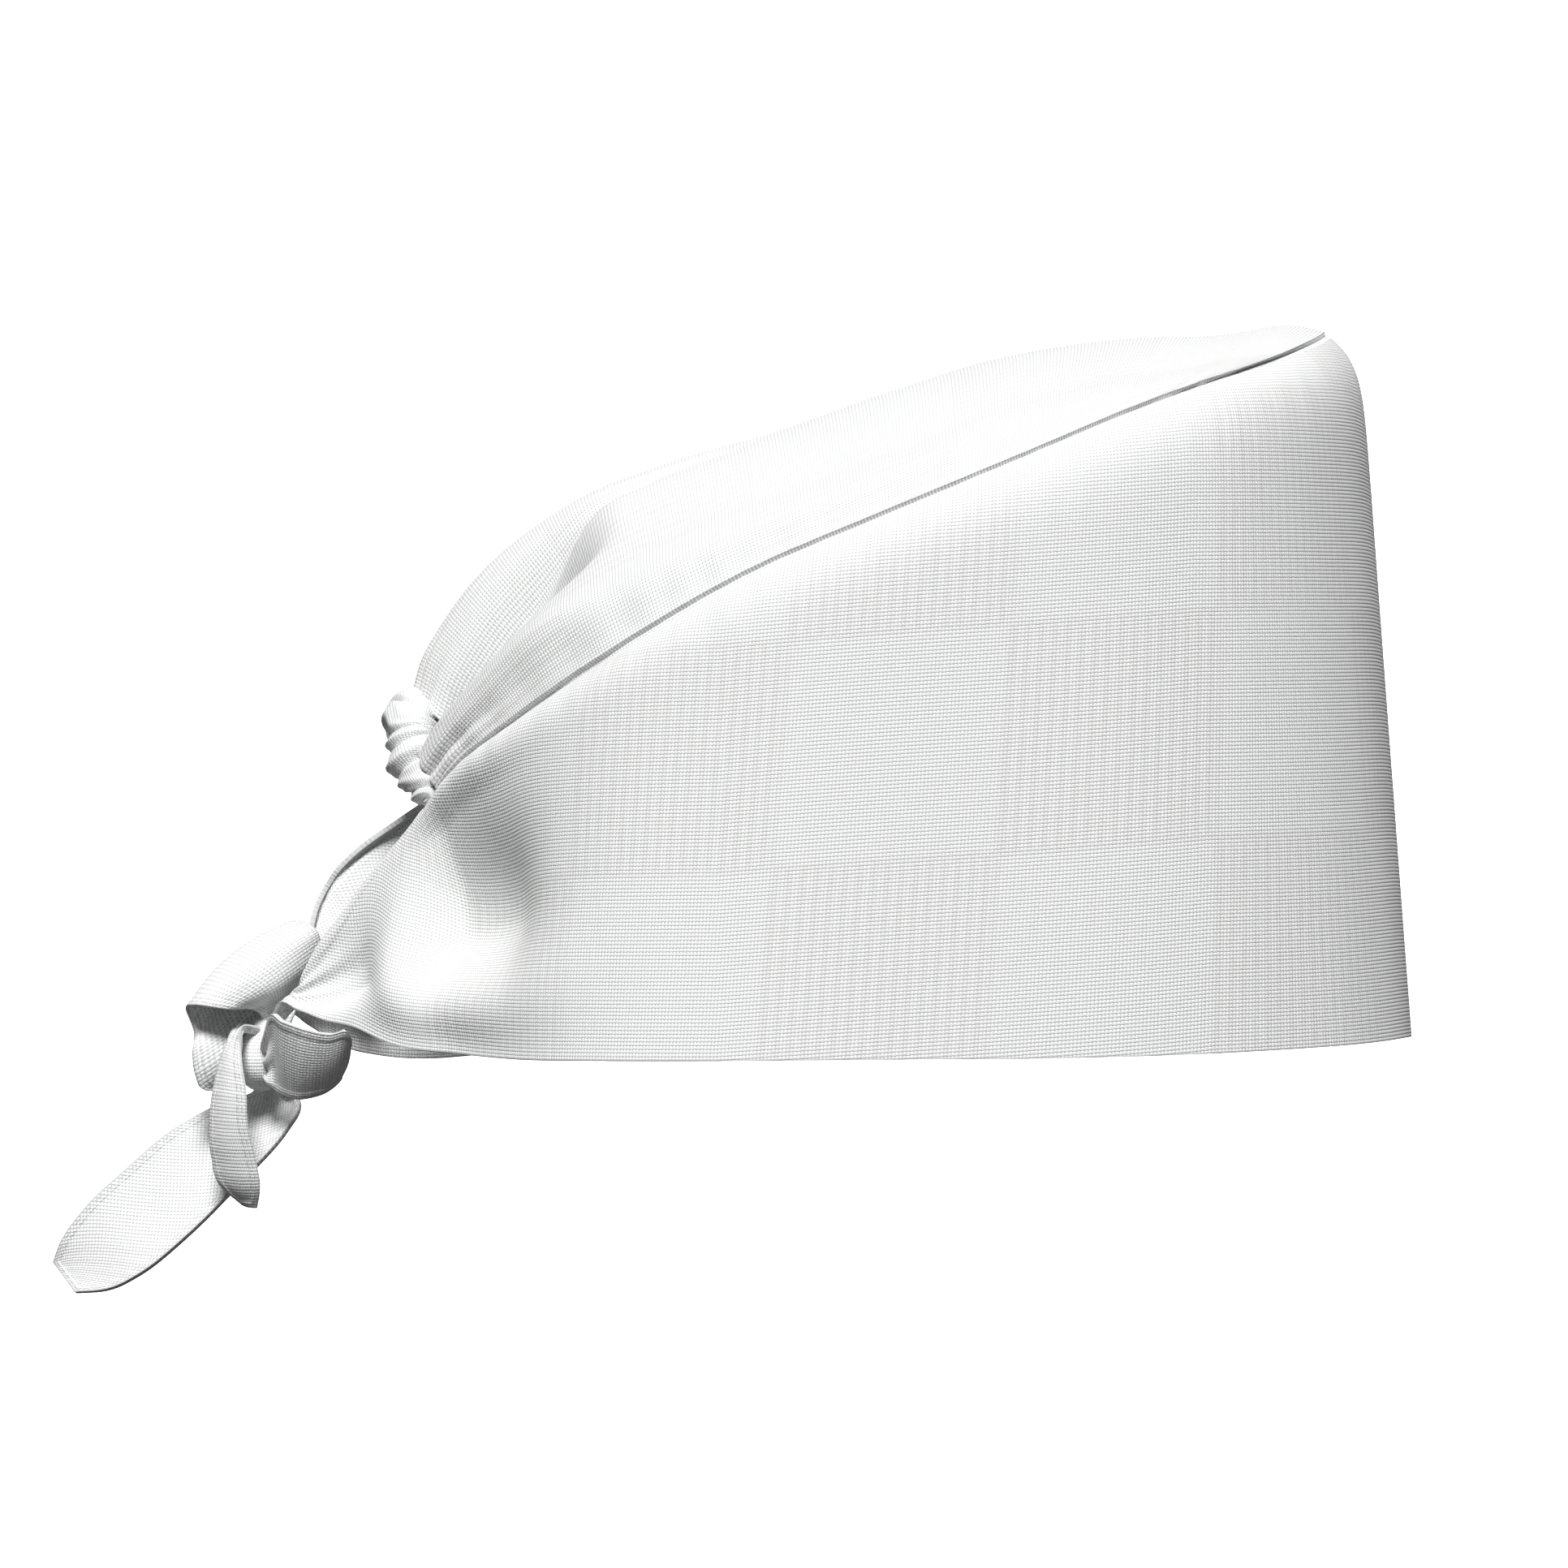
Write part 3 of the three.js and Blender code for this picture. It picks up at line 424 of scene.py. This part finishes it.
def makeCasing():
    # a tube whose radius swells and pinches along its arch, each ruffle leaning a little
    s = casingSettings
    share = np.linspace(0, 1, s["steps"])
    across = s["span"] * (2 * share - 1)
    reach = np.abs(across)
    behind, below = -follow(casingRows, "back", reach), -follow(casingRows, "down", reach)
    hang = np.stack((behind, np.zeros_like(share), below), axis=-1)
    centre = plainCrown(np.ones_like(across), across) + hang * s["radius"]
    run = unit(np.gradient(centre, axis=0))
    out = unit(np.array([-1.0, 0, 0]) + run * run[:, :1])
    beside = np.cross(run, out)
    turn = np.linspace(0, 2 * pi, s["sides"], endpoint=False)
    uneven = share + 0.014 * np.sin(2 * pi * 3.3 * share + 0.7) + 0.008 * np.sin(2 * pi * 7.1 * share)
    leaning = uneven[:, None] + s["leaning"] * np.sin(turn[None] - 0.6 + 1.5 * np.sin(9 * share)[:, None])
    lobe = 1 + s["lobe"] * np.sin(2 * pi * 4.7 * share + 2)[:, None] * np.cos(turn - 0.5)[None]
    ruffle = np.abs(np.sin(pi * s["ruffles"] * leaning)) ** 0.6 * lobe
    small = np.sin(2 * pi * (2.1 * s["ruffles"] * leaning) + 2 * turn[None])
    end = np.minimum(1, 1.4 * np.sqrt(np.sin(pi * np.clip(share, 0.004, 0.996))))
    radius = s["radius"] * (follow(casingRows, "radius", reach) * (0.25 + 0.75 * end))[:, None] * (
        s["narrow"] + s["swell"] * ruffle + s["small"] * small)
    spoke = out[:, None] * np.cos(turn)[None, :, None] + beside[:, None] * np.sin(turn)[None, :, None]
    grid = centre[:, None] + spoke * radius[..., None]
    n, m = grid.shape[:2]
    i, j = np.meshgrid(np.arange(n - 1), np.arange(m), indexing="ij")
    a, b = (i * m + j).ravel(), (i * m + (j + 1) % m).ravel()
    walls = np.stack((a, b, b + m, a + m), axis=1)
    points = np.concatenate((grid.reshape(-1, 3), centre[:1], centre[-1:]))
    j = np.arange(m)
    k = (j + 1) % m
    last = (n - 1) * m
    ends = np.concatenate((np.stack((k, j, np.full(m, n * m)), axis=1),
                           np.stack((last + j, last + k, np.full(m, n * m + 1)), axis=1)))
    u = np.repeat(runLength(centre) * s["drawn"], m)
    v = np.tile(turn * s["radius"], n)
    uv = np.concatenate((np.stack((u, v), axis=1), [[0, 0], [0, 0]]))
    return newTube("rearCasing", points, walls, ends, uv)


def newTube(name, points, quads, ends, uv):
    # four-sided walls and three-sided ends in one closed mesh
    mesh = bpy.data.meshes.new(name)
    mesh.from_pydata(points.tolist(), [], quads.tolist() + ends.tolist())
    mesh.polygons.foreach_set("use_smooth", np.ones(len(mesh.polygons), dtype=bool))
    corner = np.zeros(len(mesh.loops), dtype=np.int32)
    mesh.loops.foreach_get("vertex_index", corner)
    mesh.uv_layers.new(name="cloth").data.foreach_set("uv", uv[corner].astype(np.float32).ravel())
    mesh.update()
    piece = bpy.data.objects.new(name, mesh)
    bpy.context.scene.collection.objects.link(piece)
    return piece


# The bow: each tie is a strip between its two edges a and b, in tie widths from the middle of the knot
knot = dict(length=0.005, breadth=0.007, height=0.0082, lift=-0.0012, lean=0.0004,
            columns=120, rows=80, narrower=0.18, ripple=0.055, turns=5)
knotMiddle = np.array([-cut["knotReach"] - 0.3 * knot["length"], 0, knot["lift"]])
tieNames = "at aX aY aZ bX bY bZ round"
tieRows = dict(
    upperLoop=table(tieNames, [
        [0.00, 0.06, -0.05, 0.22, 0.30, 0.00, 0.30, 0.00],
        [0.10, -0.04, -0.20, 0.44, 0.42, 0.06, 0.62, 0.03],
        [0.25, -0.33, -0.52, 0.48, 0.60, 0.08, 1.10, 0.10],
        [0.40, -0.68, -0.50, 0.52, 0.50, 0.10, 1.35, 0.12],
        [0.50, -0.78, -0.30, 0.48, 0.26, 0.42, 1.38, 0.14],
        [0.62, -0.70, -0.26, 0.22, 0.14, 0.70, 1.10, 0.00],
        [0.72, -0.71, -0.36, 0.00, 0.12, 0.76, 0.80, -0.20],
        [0.80, -0.68, -0.36, -0.22, 0.10, 0.70, 0.56, -0.24],
        [0.87, -0.60, -0.28, -0.38, 0.08, 0.56, 0.38, -0.16],
        [0.94, -0.36, -0.06, -0.34, 0.06, 0.40, 0.24, -0.04],
        [1.00, -0.08, 0.10, -0.16, 0.04, 0.20, 0.10, 0.00],
    ]),
    nearLoop=table(tieNames, [
        [0.00, 0.02, -0.20, 0.06, 0.04, -0.15, -0.24, 0.00],
        [0.07, 0.05, -0.46, 0.18, 0.09, -0.36, -0.33, 0.00],
        [0.14, 0.12, -0.66, 0.40, 0.16, -0.36, -0.38, 0.00],
        [0.28, 0.30, -0.98, 0.36, 0.28, -0.52, -0.43, 0.03],
        [0.42, 0.56, -1.12, 0.28, 0.46, -0.66, -0.46, 0.05],
        [0.55, 0.80, -1.18, 0.24, 0.70, -0.72, -0.40, 0.05],
        [0.67, 0.98, -1.22, 0.27, 0.84, -0.72, -0.30, 0.05],
        [0.76, 1.00, -0.98, 0.14, 0.84, -0.52, -0.27, 0.04],
        [0.83, 0.88, -0.64, 0.10, 0.72, -0.38, -0.26, 0.02],
        [0.92, 0.52, -0.34, 0.14, 0.46, -0.26, -0.24, 0.00],
        [1.00, 0.12, -0.12, 0.14, 0.12, -0.10, -0.16, 0.00],
    ]),
    shortTail=table(tieNames, [
        [0.00, 0.02, -0.20, 0.24, -0.10, -0.10, 0.26, 0.00],
        [0.12, -0.17, -0.46, 0.28, -0.26, -0.22, 0.30, -0.02],
        [0.25, -0.16, -0.70, 0.00, -0.36, -0.48, 0.06, 0.05],
        [0.42, -0.10, -0.84, -0.36, -0.46, -0.58, -0.32, 0.08],
        [0.60, -0.08, -0.86, -0.72, -0.50, -0.62, -0.70, 0.08],
        [0.78, 0.00, -0.82, -1.08, -0.48, -0.62, -1.06, 0.08],
        [0.92, 0.04, -0.76, -1.40, -0.38, -0.60, -1.38, 0.05],
        [1.00, 0.00, -0.64, -1.60, -0.17, -0.56, -1.57, 0.02],
    ]),
    longTail=table(tieNames, [
        [0.00, 0.14, -0.05, -0.24, -0.06, 0.12, -0.22, 0.00],
        [0.10, 0.40, -0.12, -0.50, -0.12, 0.24, -0.42, -0.02],
        [0.22, 0.26, -0.18, -0.82, -0.40, 0.34, -0.52, -0.04],
        [0.40, -0.26, -0.20, -1.40, -0.98, 0.38, -0.83, -0.05],
        [0.60, -0.80, -0.20, -1.94, -1.47, 0.40, -1.24, -0.05],
        [0.78, -1.30, -0.14, -2.34, -1.92, 0.44, -1.66, -0.05],
        [0.92, -1.70, 0.04, -2.52, -2.20, 0.52, -2.04, -0.04],
        [1.00, -2.02, 0.24, -2.56, -2.29, 0.60, -2.27, 0.00],
    ]),
)
tieSettings = dict(columns=300, rows=40, thickness=0.9,   # thickness: a share of the band's
                   edgeWidth=0.0016, edgeRise=0.0002, pleats=2.5, pleatDepth=0.0005)


def tieEdges(rows, share):
    # the table's shares of a tie's width, from the middle of the knot
    a = np.stack([follow(rows, "a" + axis, share) for axis in "XYZ"], axis=-1)
    b = np.stack([follow(rows, "b" + axis, share) for axis in "XYZ"], axis=-1)
    return a * cut["tieWidth"] + knotMiddle, b * cut["tieWidth"] + knotMiddle


def tieSurface(rows, share, v):
    # a straight line between the edges, raised by a parabola square to the strip
    a, b = tieEdges(rows, share)
    run = np.gradient(a + b, axis=0)
    out = unit(np.cross(b - a, run))
    swell = (follow(rows, "round", share) * cut["tieWidth"])[:, None] * (4 * v * (1 - v))[None]
    flat = a[:, None] * (1 - v)[None, :, None] + b[:, None] * v[None, :, None]
    return flat + out[:, None] * swell[..., None]


def makeTie(name, bothEndsHeld):
    # the tie's surface with a raised edge, and pleats where the knot holds it, which are a sine across it
    s = tieSettings
    share = np.linspace(0, 1, s["columns"])
    even = np.linspace(0, 1, s["rows"]) - 0.5
    v = 0.5 + 0.5 * np.sin(pi * even) * 0.6 + 0.4 * even   # rows closer at the edges
    grid = tieSurface(tieRows[name], share, v)[:, ::-1]
    held = 1 - ramp(share, 0.02, 0.22)
    if bothEndsHeld:
        held = held + ramp(share, 0.80, 0.98)
    pleat = s["pleatDepth"] * held[:, None] * np.sin(2 * pi * s["pleats"] * v)[None]
    width = np.linalg.norm(grid[:, -1] - grid[:, 0], axis=-1)
    fromEdge = np.minimum(v, 1 - v)[None] * width[:, None]
    if not bothEndsHeld:
        toTip = runLength(grid[:, s["rows"] // 2])
        fromEdge = np.minimum(fromEdge, (toTip[-1] - toTip)[:, None])
    rise = s["edgeRise"] * (1 - ramp(fromEdge, s["edgeWidth"] * 0.8, s["edgeWidth"] * 1.2))
    grid = grid + gridNormals(grid) * (pleat + rise)[..., None]
    lengthwise = np.broadcast_to(runLength(grid[:, s["rows"] // 2])[:, None], fromEdge.shape)
    crosswise = (v * cut["tieWidth"])[None] * np.ones_like(fromEdge)
    if name == "longTail":   # cut on the bias
        lengthwise, crosswise = (lengthwise + crosswise) / np.sqrt(2), (crosswise - lengthwise) / np.sqrt(2)
    uv = np.stack((lengthwise, crosswise), axis=-1)
    return clothPiece(name, grid, uv, cut["clothThickness"] * s["thickness"], hem=fromEdge), grid


def makeKnot():
    # an egg whose radius ripples round it as the turns of tie do
    turn = np.linspace(0, 2 * pi, knot["columns"], endpoint=False)
    polar = np.linspace(0, pi, knot["rows"])[1:-1]
    turnGrid, polarGrid = np.meshgrid(turn, polar, indexing="ij")
    z = np.cos(polarGrid)
    narrow = 1 - knot["narrower"] * z
    ripple = 1 + knot["ripple"] * np.sin(knot["turns"] * turnGrid + 2.2 * z) * np.sin(polarGrid)
    x = np.sin(polarGrid) * np.cos(turnGrid) * knot["length"] * narrow * ripple + knot["lean"] * z
    y = np.sin(polarGrid) * np.sin(turnGrid) * knot["breadth"] * narrow * ripple
    grid = np.stack((x, y, z * knot["height"]), axis=-1) + knotMiddle
    n, m = grid.shape[:2]
    i, j = np.meshgrid(np.arange(n), np.arange(m - 1), indexing="ij")
    a, b = (i * m + j).ravel(), ((i + 1) % n * m + j).ravel()
    quads = np.stack((a, a + 1, b + 1, b), axis=1)
    i = np.arange(n)
    k = (i + 1) % n
    top = np.stack((i * m, k * m, np.full(n, n * m)), axis=1)
    bottom = np.stack((k * m + m - 1, i * m + m - 1, np.full(n, n * m + 1)), axis=1)
    poles = knotMiddle + np.array([[knot["lean"], 0, knot["height"]], [-knot["lean"], 0, -knot["height"]]])
    uv = np.stack((polarGrid.ravel() * knot["height"], turnGrid.ravel() * knot["breadth"]), axis=1)
    uv = np.concatenate((uv, [[0, 0], [0, 0]]))
    points = np.concatenate((grid.reshape(-1, 3), poles))
    return newTube("knotWrap", points, quads, np.concatenate((top, bottom)), uv)


# Cotton: plain weave with faint squares of thin stripes, and painted shade in the weave's gaps and along its
# turned edges
class NodeHand:
    # puts shader nodes and joins them
    def __init__(self, name):
        self.material = bpy.data.materials.new(name)
        self.material.use_nodes = True
        self.tree = self.material.node_tree
        self.shader = self.tree.nodes["Principled BSDF"]

    def put(self, kind, **values):
        node = self.tree.nodes.new(kind)
        for key, value in values.items():
            setattr(node, key, value)
        return node

    def join(self, source, socket):
        if isinstance(source, (int, float)):
            socket.default_value = source
        else:
            self.tree.links.new(source, socket)

    def sum(self, operation, a, b=0.0, clamp=False):
        node = self.put("ShaderNodeMath", operation=operation, use_clamp=clamp)
        self.join(a, node.inputs[0])
        self.join(b, node.inputs[1])
        return node.outputs[0]

    def blend(self, share, a, b):
        node = self.put("ShaderNodeMix", data_type="RGBA")
        self.join(share, node.inputs[0])
        for value, socket in ((a, node.inputs[6]), (b, node.inputs[7])):
            if isinstance(value, tuple):
                socket.default_value = (*value, 1)
            else:
                self.tree.links.new(value, socket)
        return node.outputs[2]


# the darkest colour is painted shade in the gaps between the threads and along the turned edges, and is also
# the stitches' colour
cottonSettings = dict(
    thread=(0.905, 0.910, 0.905), cloud=(0.80, 0.81, 0.81), cloudShare=0.12, cloudScale=38,
    gap=(0.46, 0.47, 0.47), gapShare=0.75, weaveHeight=0.00016, slubHeight=0.00012, slub=(0.0012, 0.014),
    stripe=(0.80, 0.80, 0.785), stripeShare=0.55, stripes=16, outlineShare=0.35, outlineWidth=0.013,
    # edgeWidth and the share after it: the width and strength of the painted shade along a turned edge
    edgeWidth=0.0004, edgeShadeShare=0.55, roughness=0.88, sheen=0.15,
    stitchAt=0.0009, stitchApart=0.0009, stitchWidth=0.00014, stitchLength=0.0024, stitchShare=0.6,
)


def makeCotton(name, shiftU=0.0, shiftV=0.0, shadedEdge=True, stitched=False):
    # threads: sines of the cloth's own lengths; over and under where their product changes sign
    c = cottonSettings
    hand = NodeHand(name)
    uvNode = hand.put("ShaderNodeUVMap", uv_map="cloth")
    split = hand.put("ShaderNodeSeparateXYZ")
    hand.join(uvNode.outputs[0], split.inputs[0])
    u, v = split.outputs[0], split.outputs[1]
    warpWave = hand.sum("SINE", hand.sum("MULTIPLY", u, pi / cut["threadPitch"]))
    weftWave = hand.sum("SINE", hand.sum("MULTIPLY", v, pi / cut["threadPitch"]))
    warp, weft = hand.sum("ABSOLUTE", warpWave), hand.sum("ABSOLUTE", weftWave)
    crossing = hand.sum("MULTIPLY", warpWave, weftWave)
    over = hand.sum("MULTIPLY_ADD", crossing, 1.6, clamp=True)
    over.node.inputs[2].default_value = 0.5
    warpTop = hand.sum("MULTIPLY", warp, hand.sum("POWER", weft, 0.4))
    weftTop = hand.sum("MULTIPLY", weft, hand.sum("POWER", warp, 0.4))
    height = hand.sum("ADD", hand.sum("MULTIPLY", warpTop, over),
                      hand.sum("MULTIPLY", weftTop, hand.sum("SUBTRACT", 1.0, over)))
    # painted shade: the gaps where neither thread lies are darkened in the colour
    gapShade = hand.sum("MULTIPLY", hand.sum("SUBTRACT", 1.0, warp), hand.sum("SUBTRACT", 1.0, weft))
    gapShade = hand.sum("MULTIPLY", hand.sum("MULTIPLY", gapShade, 2.2, clamp=True), c["gapShare"])
    # squares of stripes, every second one: a sum of the square's two numbers that is even
    side = cut["squareSide"]
    acrossSquares = hand.sum("DIVIDE", hand.sum("ADD", u, side * 20 + shiftU), side)
    upSquares = hand.sum("DIVIDE", hand.sum("ADD", v, side * 20 + shiftV), side)
    number = hand.sum("ADD", hand.sum("FLOOR", acrossSquares), hand.sum("FLOOR", upSquares))
    striped = hand.sum("MODULO", hand.sum("ADD", number, 1.0), 2.0)
    lineWave = hand.sum("SINE", hand.sum("MULTIPLY", acrossSquares, 2 * pi * c["stripes"]))
    line = hand.sum("MULTIPLY_ADD", lineWave, 0.9, clamp=True)
    line.node.inputs[2].default_value = 0.4
    stripe = hand.sum("MULTIPLY", hand.sum("MULTIPLY", line, striped), c["stripeShare"])
    # the squares' outlines: where either number is nearly whole
    toLineU = hand.sum("PINGPONG", acrossSquares, 0.5)
    toLineV = hand.sum("PINGPONG", upSquares, 0.5)
    outline = hand.sum("LESS_THAN", hand.sum("MINIMUM", toLineU, toLineV), c["outlineWidth"])
    stripe = hand.sum("MAXIMUM", stripe, hand.sum("MULTIPLY", outline, c["outlineShare"]))
    cloud = hand.put("ShaderNodeTexNoise")
    cloud.inputs["Scale"].default_value = c["cloudScale"]
    cloud.inputs["Detail"].default_value = 3
    place = hand.put("ShaderNodeTexCoord")
    hand.join(place.outputs["Object"], cloud.inputs["Vector"])
    slub = hand.put("ShaderNodeTexNoise")
    slub.inputs["Scale"].default_value = 1
    slub.inputs["Detail"].default_value = 2
    stretch = hand.put("ShaderNodeMapping")
    stretch.inputs["Scale"].default_value = (1 / c["slub"][0], 1 / c["slub"][1], 1)
    hand.join(uvNode.outputs[0], stretch.inputs["Vector"])
    hand.join(stretch.outputs[0], slub.inputs["Vector"])
    thread = hand.blend(hand.sum("MULTIPLY", cloud.outputs[0], c["cloudShare"]), c["thread"], c["cloud"])
    colour = hand.blend(stripe, thread, c["stripe"])
    # painted shade between the threads
    colour = hand.blend(gapShade, colour, c["gap"])
    if shadedEdge:
        # painted shade: a thin dark line where the cloth turns away at its edge
        fromHem = hand.put("ShaderNodeAttribute", attribute_name="hem").outputs["Fac"]
        edgeShadeAndStitches = hand.sum("MULTIPLY", hand.sum("LESS_THAN", fromHem, c["edgeWidth"]), c["edgeShadeShare"])
        if stitched:
            # two rows of stitches along the hem
            pastFirst = hand.sum("SUBTRACT", fromHem, c["stitchAt"])
            toRow = hand.sum("PINGPONG", pastFirst, c["stitchApart"] / 2)
            inRow = hand.sum("LESS_THAN", toRow, c["stitchWidth"])
            inHem = hand.sum("LESS_THAN", fromHem, c["stitchAt"] + c["stitchApart"] * 1.3)
            pastEdge = hand.sum("GREATER_THAN", fromHem, c["stitchAt"] * 0.6)
            stitchCount = hand.sum("DIVIDE", hand.sum("ADD", u, 1.0), c["stitchLength"])
            dash = hand.sum("LESS_THAN", hand.sum("FRACT", stitchCount), 0.62)
            onHem = hand.sum("MULTIPLY", inHem, pastEdge)
            sewnLine = hand.sum("MULTIPLY", hand.sum("MULTIPLY", inRow, dash), onHem)
            # the stitches join the painted edge shade in one mask
            edgeShadeAndStitches = hand.sum("MAXIMUM", edgeShadeAndStitches, hand.sum("MULTIPLY", sewnLine, c["stitchShare"]))
        colour = hand.blend(edgeShadeAndStitches, colour, c["gap"])
    hand.join(colour, hand.shader.inputs["Base Color"])
    slubRise = hand.sum("MULTIPLY", slub.outputs[0], c["slubHeight"] / c["weaveHeight"])
    relief = hand.sum("ADD", height, slubRise)
    bump = hand.put("ShaderNodeBump")
    bump.inputs["Strength"].default_value = 0.7
    bump.inputs["Distance"].default_value = c["weaveHeight"]
    hand.join(relief, bump.inputs["Height"])
    hand.join(bump.outputs[0], hand.shader.inputs["Normal"])
    hand.shader.inputs["Roughness"].default_value = c["roughness"]
    hand.shader.inputs["Specular IOR Level"].default_value = 0.25
    hand.shader.inputs["Sheen Weight"].default_value = c["sheen"]
    hand.shader.inputs["Sheen Roughness"].default_value = 0.5
    return hand.material


# Camera, floor and light
# frameAtMiddle is how much of the cap's middle plane the square picture spans
cameraSettings = dict(distance=1.30, x=-0.018, z=0.0557, frameAtMiddle=1932 * 0.000172, sensor=36)


def makeCamera():
    # level, on the wearer's right; its lens is the sensor times the distance over the picture's span
    c = cameraSettings
    data = bpy.data.cameras.new("camera")
    data.sensor_width = c["sensor"]
    data.lens = c["sensor"] * c["distance"] / c["frameAtMiddle"]
    data.clip_end = 30
    camera = bpy.data.objects.new("camera", data)
    camera.location = (c["x"], -c["distance"], c["z"])
    camera.rotation_euler = (pi / 2, 0, 0)
    bpy.context.scene.collection.objects.link(camera)
    bpy.context.scene.camera = camera


stageSettings = dict(below=0.0015, radius=2.4, bend=0.8, wall=3.2, columns=96, rings=12, bendRings=16,
                     hub=0.02, colour=(0.9, 0.9, 0.9, 1), glow=1.0)


def makeStage():
    # a bowl: a level disc whose rim turns up through a quarter circle into a wall
    s = stageSettings
    floor, radius, bend = cadBox[0][2] - s["below"], s["radius"], s["bend"]
    turn = np.linspace(0, 2 * pi, s["columns"] + 1)[:-1]
    arc = np.linspace(0, pi / 2, s["bendRings"])[1:]
    level = np.linspace(s["hub"], radius, s["rings"])
    reach = np.concatenate((level, radius + bend * np.sin(arc), [radius + bend]))
    high = np.concatenate((np.zeros(s["rings"]), bend - bend * np.cos(arc), [s["wall"]]))
    grid = np.stack((reach[None] * np.cos(turn)[:, None], reach[None] * np.sin(turn)[:, None],
                     np.broadcast_to(high[None], (len(turn), len(high)))), axis=-1)
    n, m = grid.shape[:2]
    i, j = np.meshgrid(np.arange(n), np.arange(m - 1), indexing="ij")
    a, b = (i * m + j).ravel(), ((i + 1) % n * m + j).ravel()
    points = np.concatenate((grid.reshape(-1, 3), [[0, 0, 0]])) + np.array([0, 0, floor])
    middle = np.stack((np.full(n, n * m), np.arange(n) * m, (np.arange(n) + 1) % n * m), axis=1)
    mesh = bpy.data.meshes.new("studioFloor")
    squares = np.stack((a, a + 1, b + 1, b), axis=1)
    mesh.from_pydata(points.tolist(), [], squares.tolist() + middle.tolist())
    mesh.polygons.foreach_set("use_smooth", np.ones(len(mesh.polygons), dtype=bool))
    bowl = bpy.data.objects.new("studioFloor", mesh)
    bpy.context.scene.collection.objects.link(bowl)
    material = bpy.data.materials.new("studioWhite")
    material.use_nodes = True
    shader = material.node_tree.nodes["Principled BSDF"]
    shader.inputs["Base Color"].default_value = s["colour"]
    shader.inputs["Roughness"].default_value = 1
    shader.inputs["Emission Color"].default_value = (1, 1, 1, 1)
    shader.inputs["Emission Strength"].default_value = s["glow"]
    mesh.materials.append(material)
    bowl.visible_diffuse = False
    bowl.visible_glossy = False
    bowl.visible_shadow = False


lightSettings = dict(key=dict(toLight=(-0.04, -0.61, 0.79), strength=4.5, spread=0.3),
                     fill=dict(toLight=(-0.25, 0.97, -0.05), strength=1.6, spread=0.6), airStrength=0.09)


def lightStudio():
    # the key stands high on the camera's side, the fill low on the left behind the cap
    s = lightSettings
    for name in ("key", "fill"):
        data = bpy.data.lights.new(name, "SUN")
        data.energy = s[name]["strength"]
        data.angle = s[name]["spread"]
        light = bpy.data.objects.new(name, data)
        toLight = unit(np.array(s[name]["toLight"]))
        heading = np.arctan2(toLight[1], toLight[0])
        light.rotation_euler = (np.arccos(toLight[2]), 0, heading + pi / 2)
        light.location = tuple(toLight * 2)
        bpy.context.scene.collection.objects.link(light)
    world = bpy.data.worlds.new("studioAir")
    bpy.context.scene.world = world
    world.use_nodes = True
    world.node_tree.nodes["Background"].inputs[0].default_value = (1, 1, 1, 1)
    world.node_tree.nodes["Background"].inputs[1].default_value = s["airStrength"]
    bpy.context.scene.view_settings.view_transform = "Standard"


print("camera, floor and light")
makeCamera()
makeStage()
lightStudio()

print("cloth materials")
bandCotton = makeCotton("bandCotton", shiftU=-0.0008, shiftV=0.002)
crownCotton = makeCotton("crownCotton", shiftU=0.012, shadedEdge=False)
tieCotton = makeCotton("tieCotton", stitched=True)
knotCotton = makeCotton("knotCotton", shadedEdge=False)

print("band")
band, bandGrid = makeBand()
print("crown and casing")
crown, crownGrid = makeCrown()
casing = makeCasing()
print("bow")
knotPiece = makeKnot()
ties = {}
for name in tieRows:
    ties[name], tieGrid = makeTie(name, name.endswith("Loop"))
    print("  %s: %.5f square metres of cloth" % (name, clothArea(tieGrid)))
print("  band %.5f, crown %.5f square metres" % (clothArea(bandGrid), clothArea(crownGrid)))

pieces = [
    (band, "side_band", "band_cotton", bandCotton),
    (crown, "crown", "crown_cotton", crownCotton),
    (casing, "rear_casing", "crown_cotton", crownCotton),
    (knotPiece, "knot_wrap", "tie_cotton", knotCotton),
    (ties["upperLoop"], "upper_loop", "tie_cotton", tieCotton),
    (ties["nearLoop"], "near_loop", "tie_cotton", tieCotton),
    (ties["shortTail"], "short_tail", "tie_cotton", tieCotton),
    (ties["longTail"], "long_tail", "tie_cotton", tieCotton),
]
for piece, node, slotName, cotton in pieces:
    piece.data.materials.append(cotton)
    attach(piece, root)
    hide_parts(node)
edgeRound = 0.0003
for piece in (band, crown, *ties.values()):
    softenEdges(piece, edgeRound)
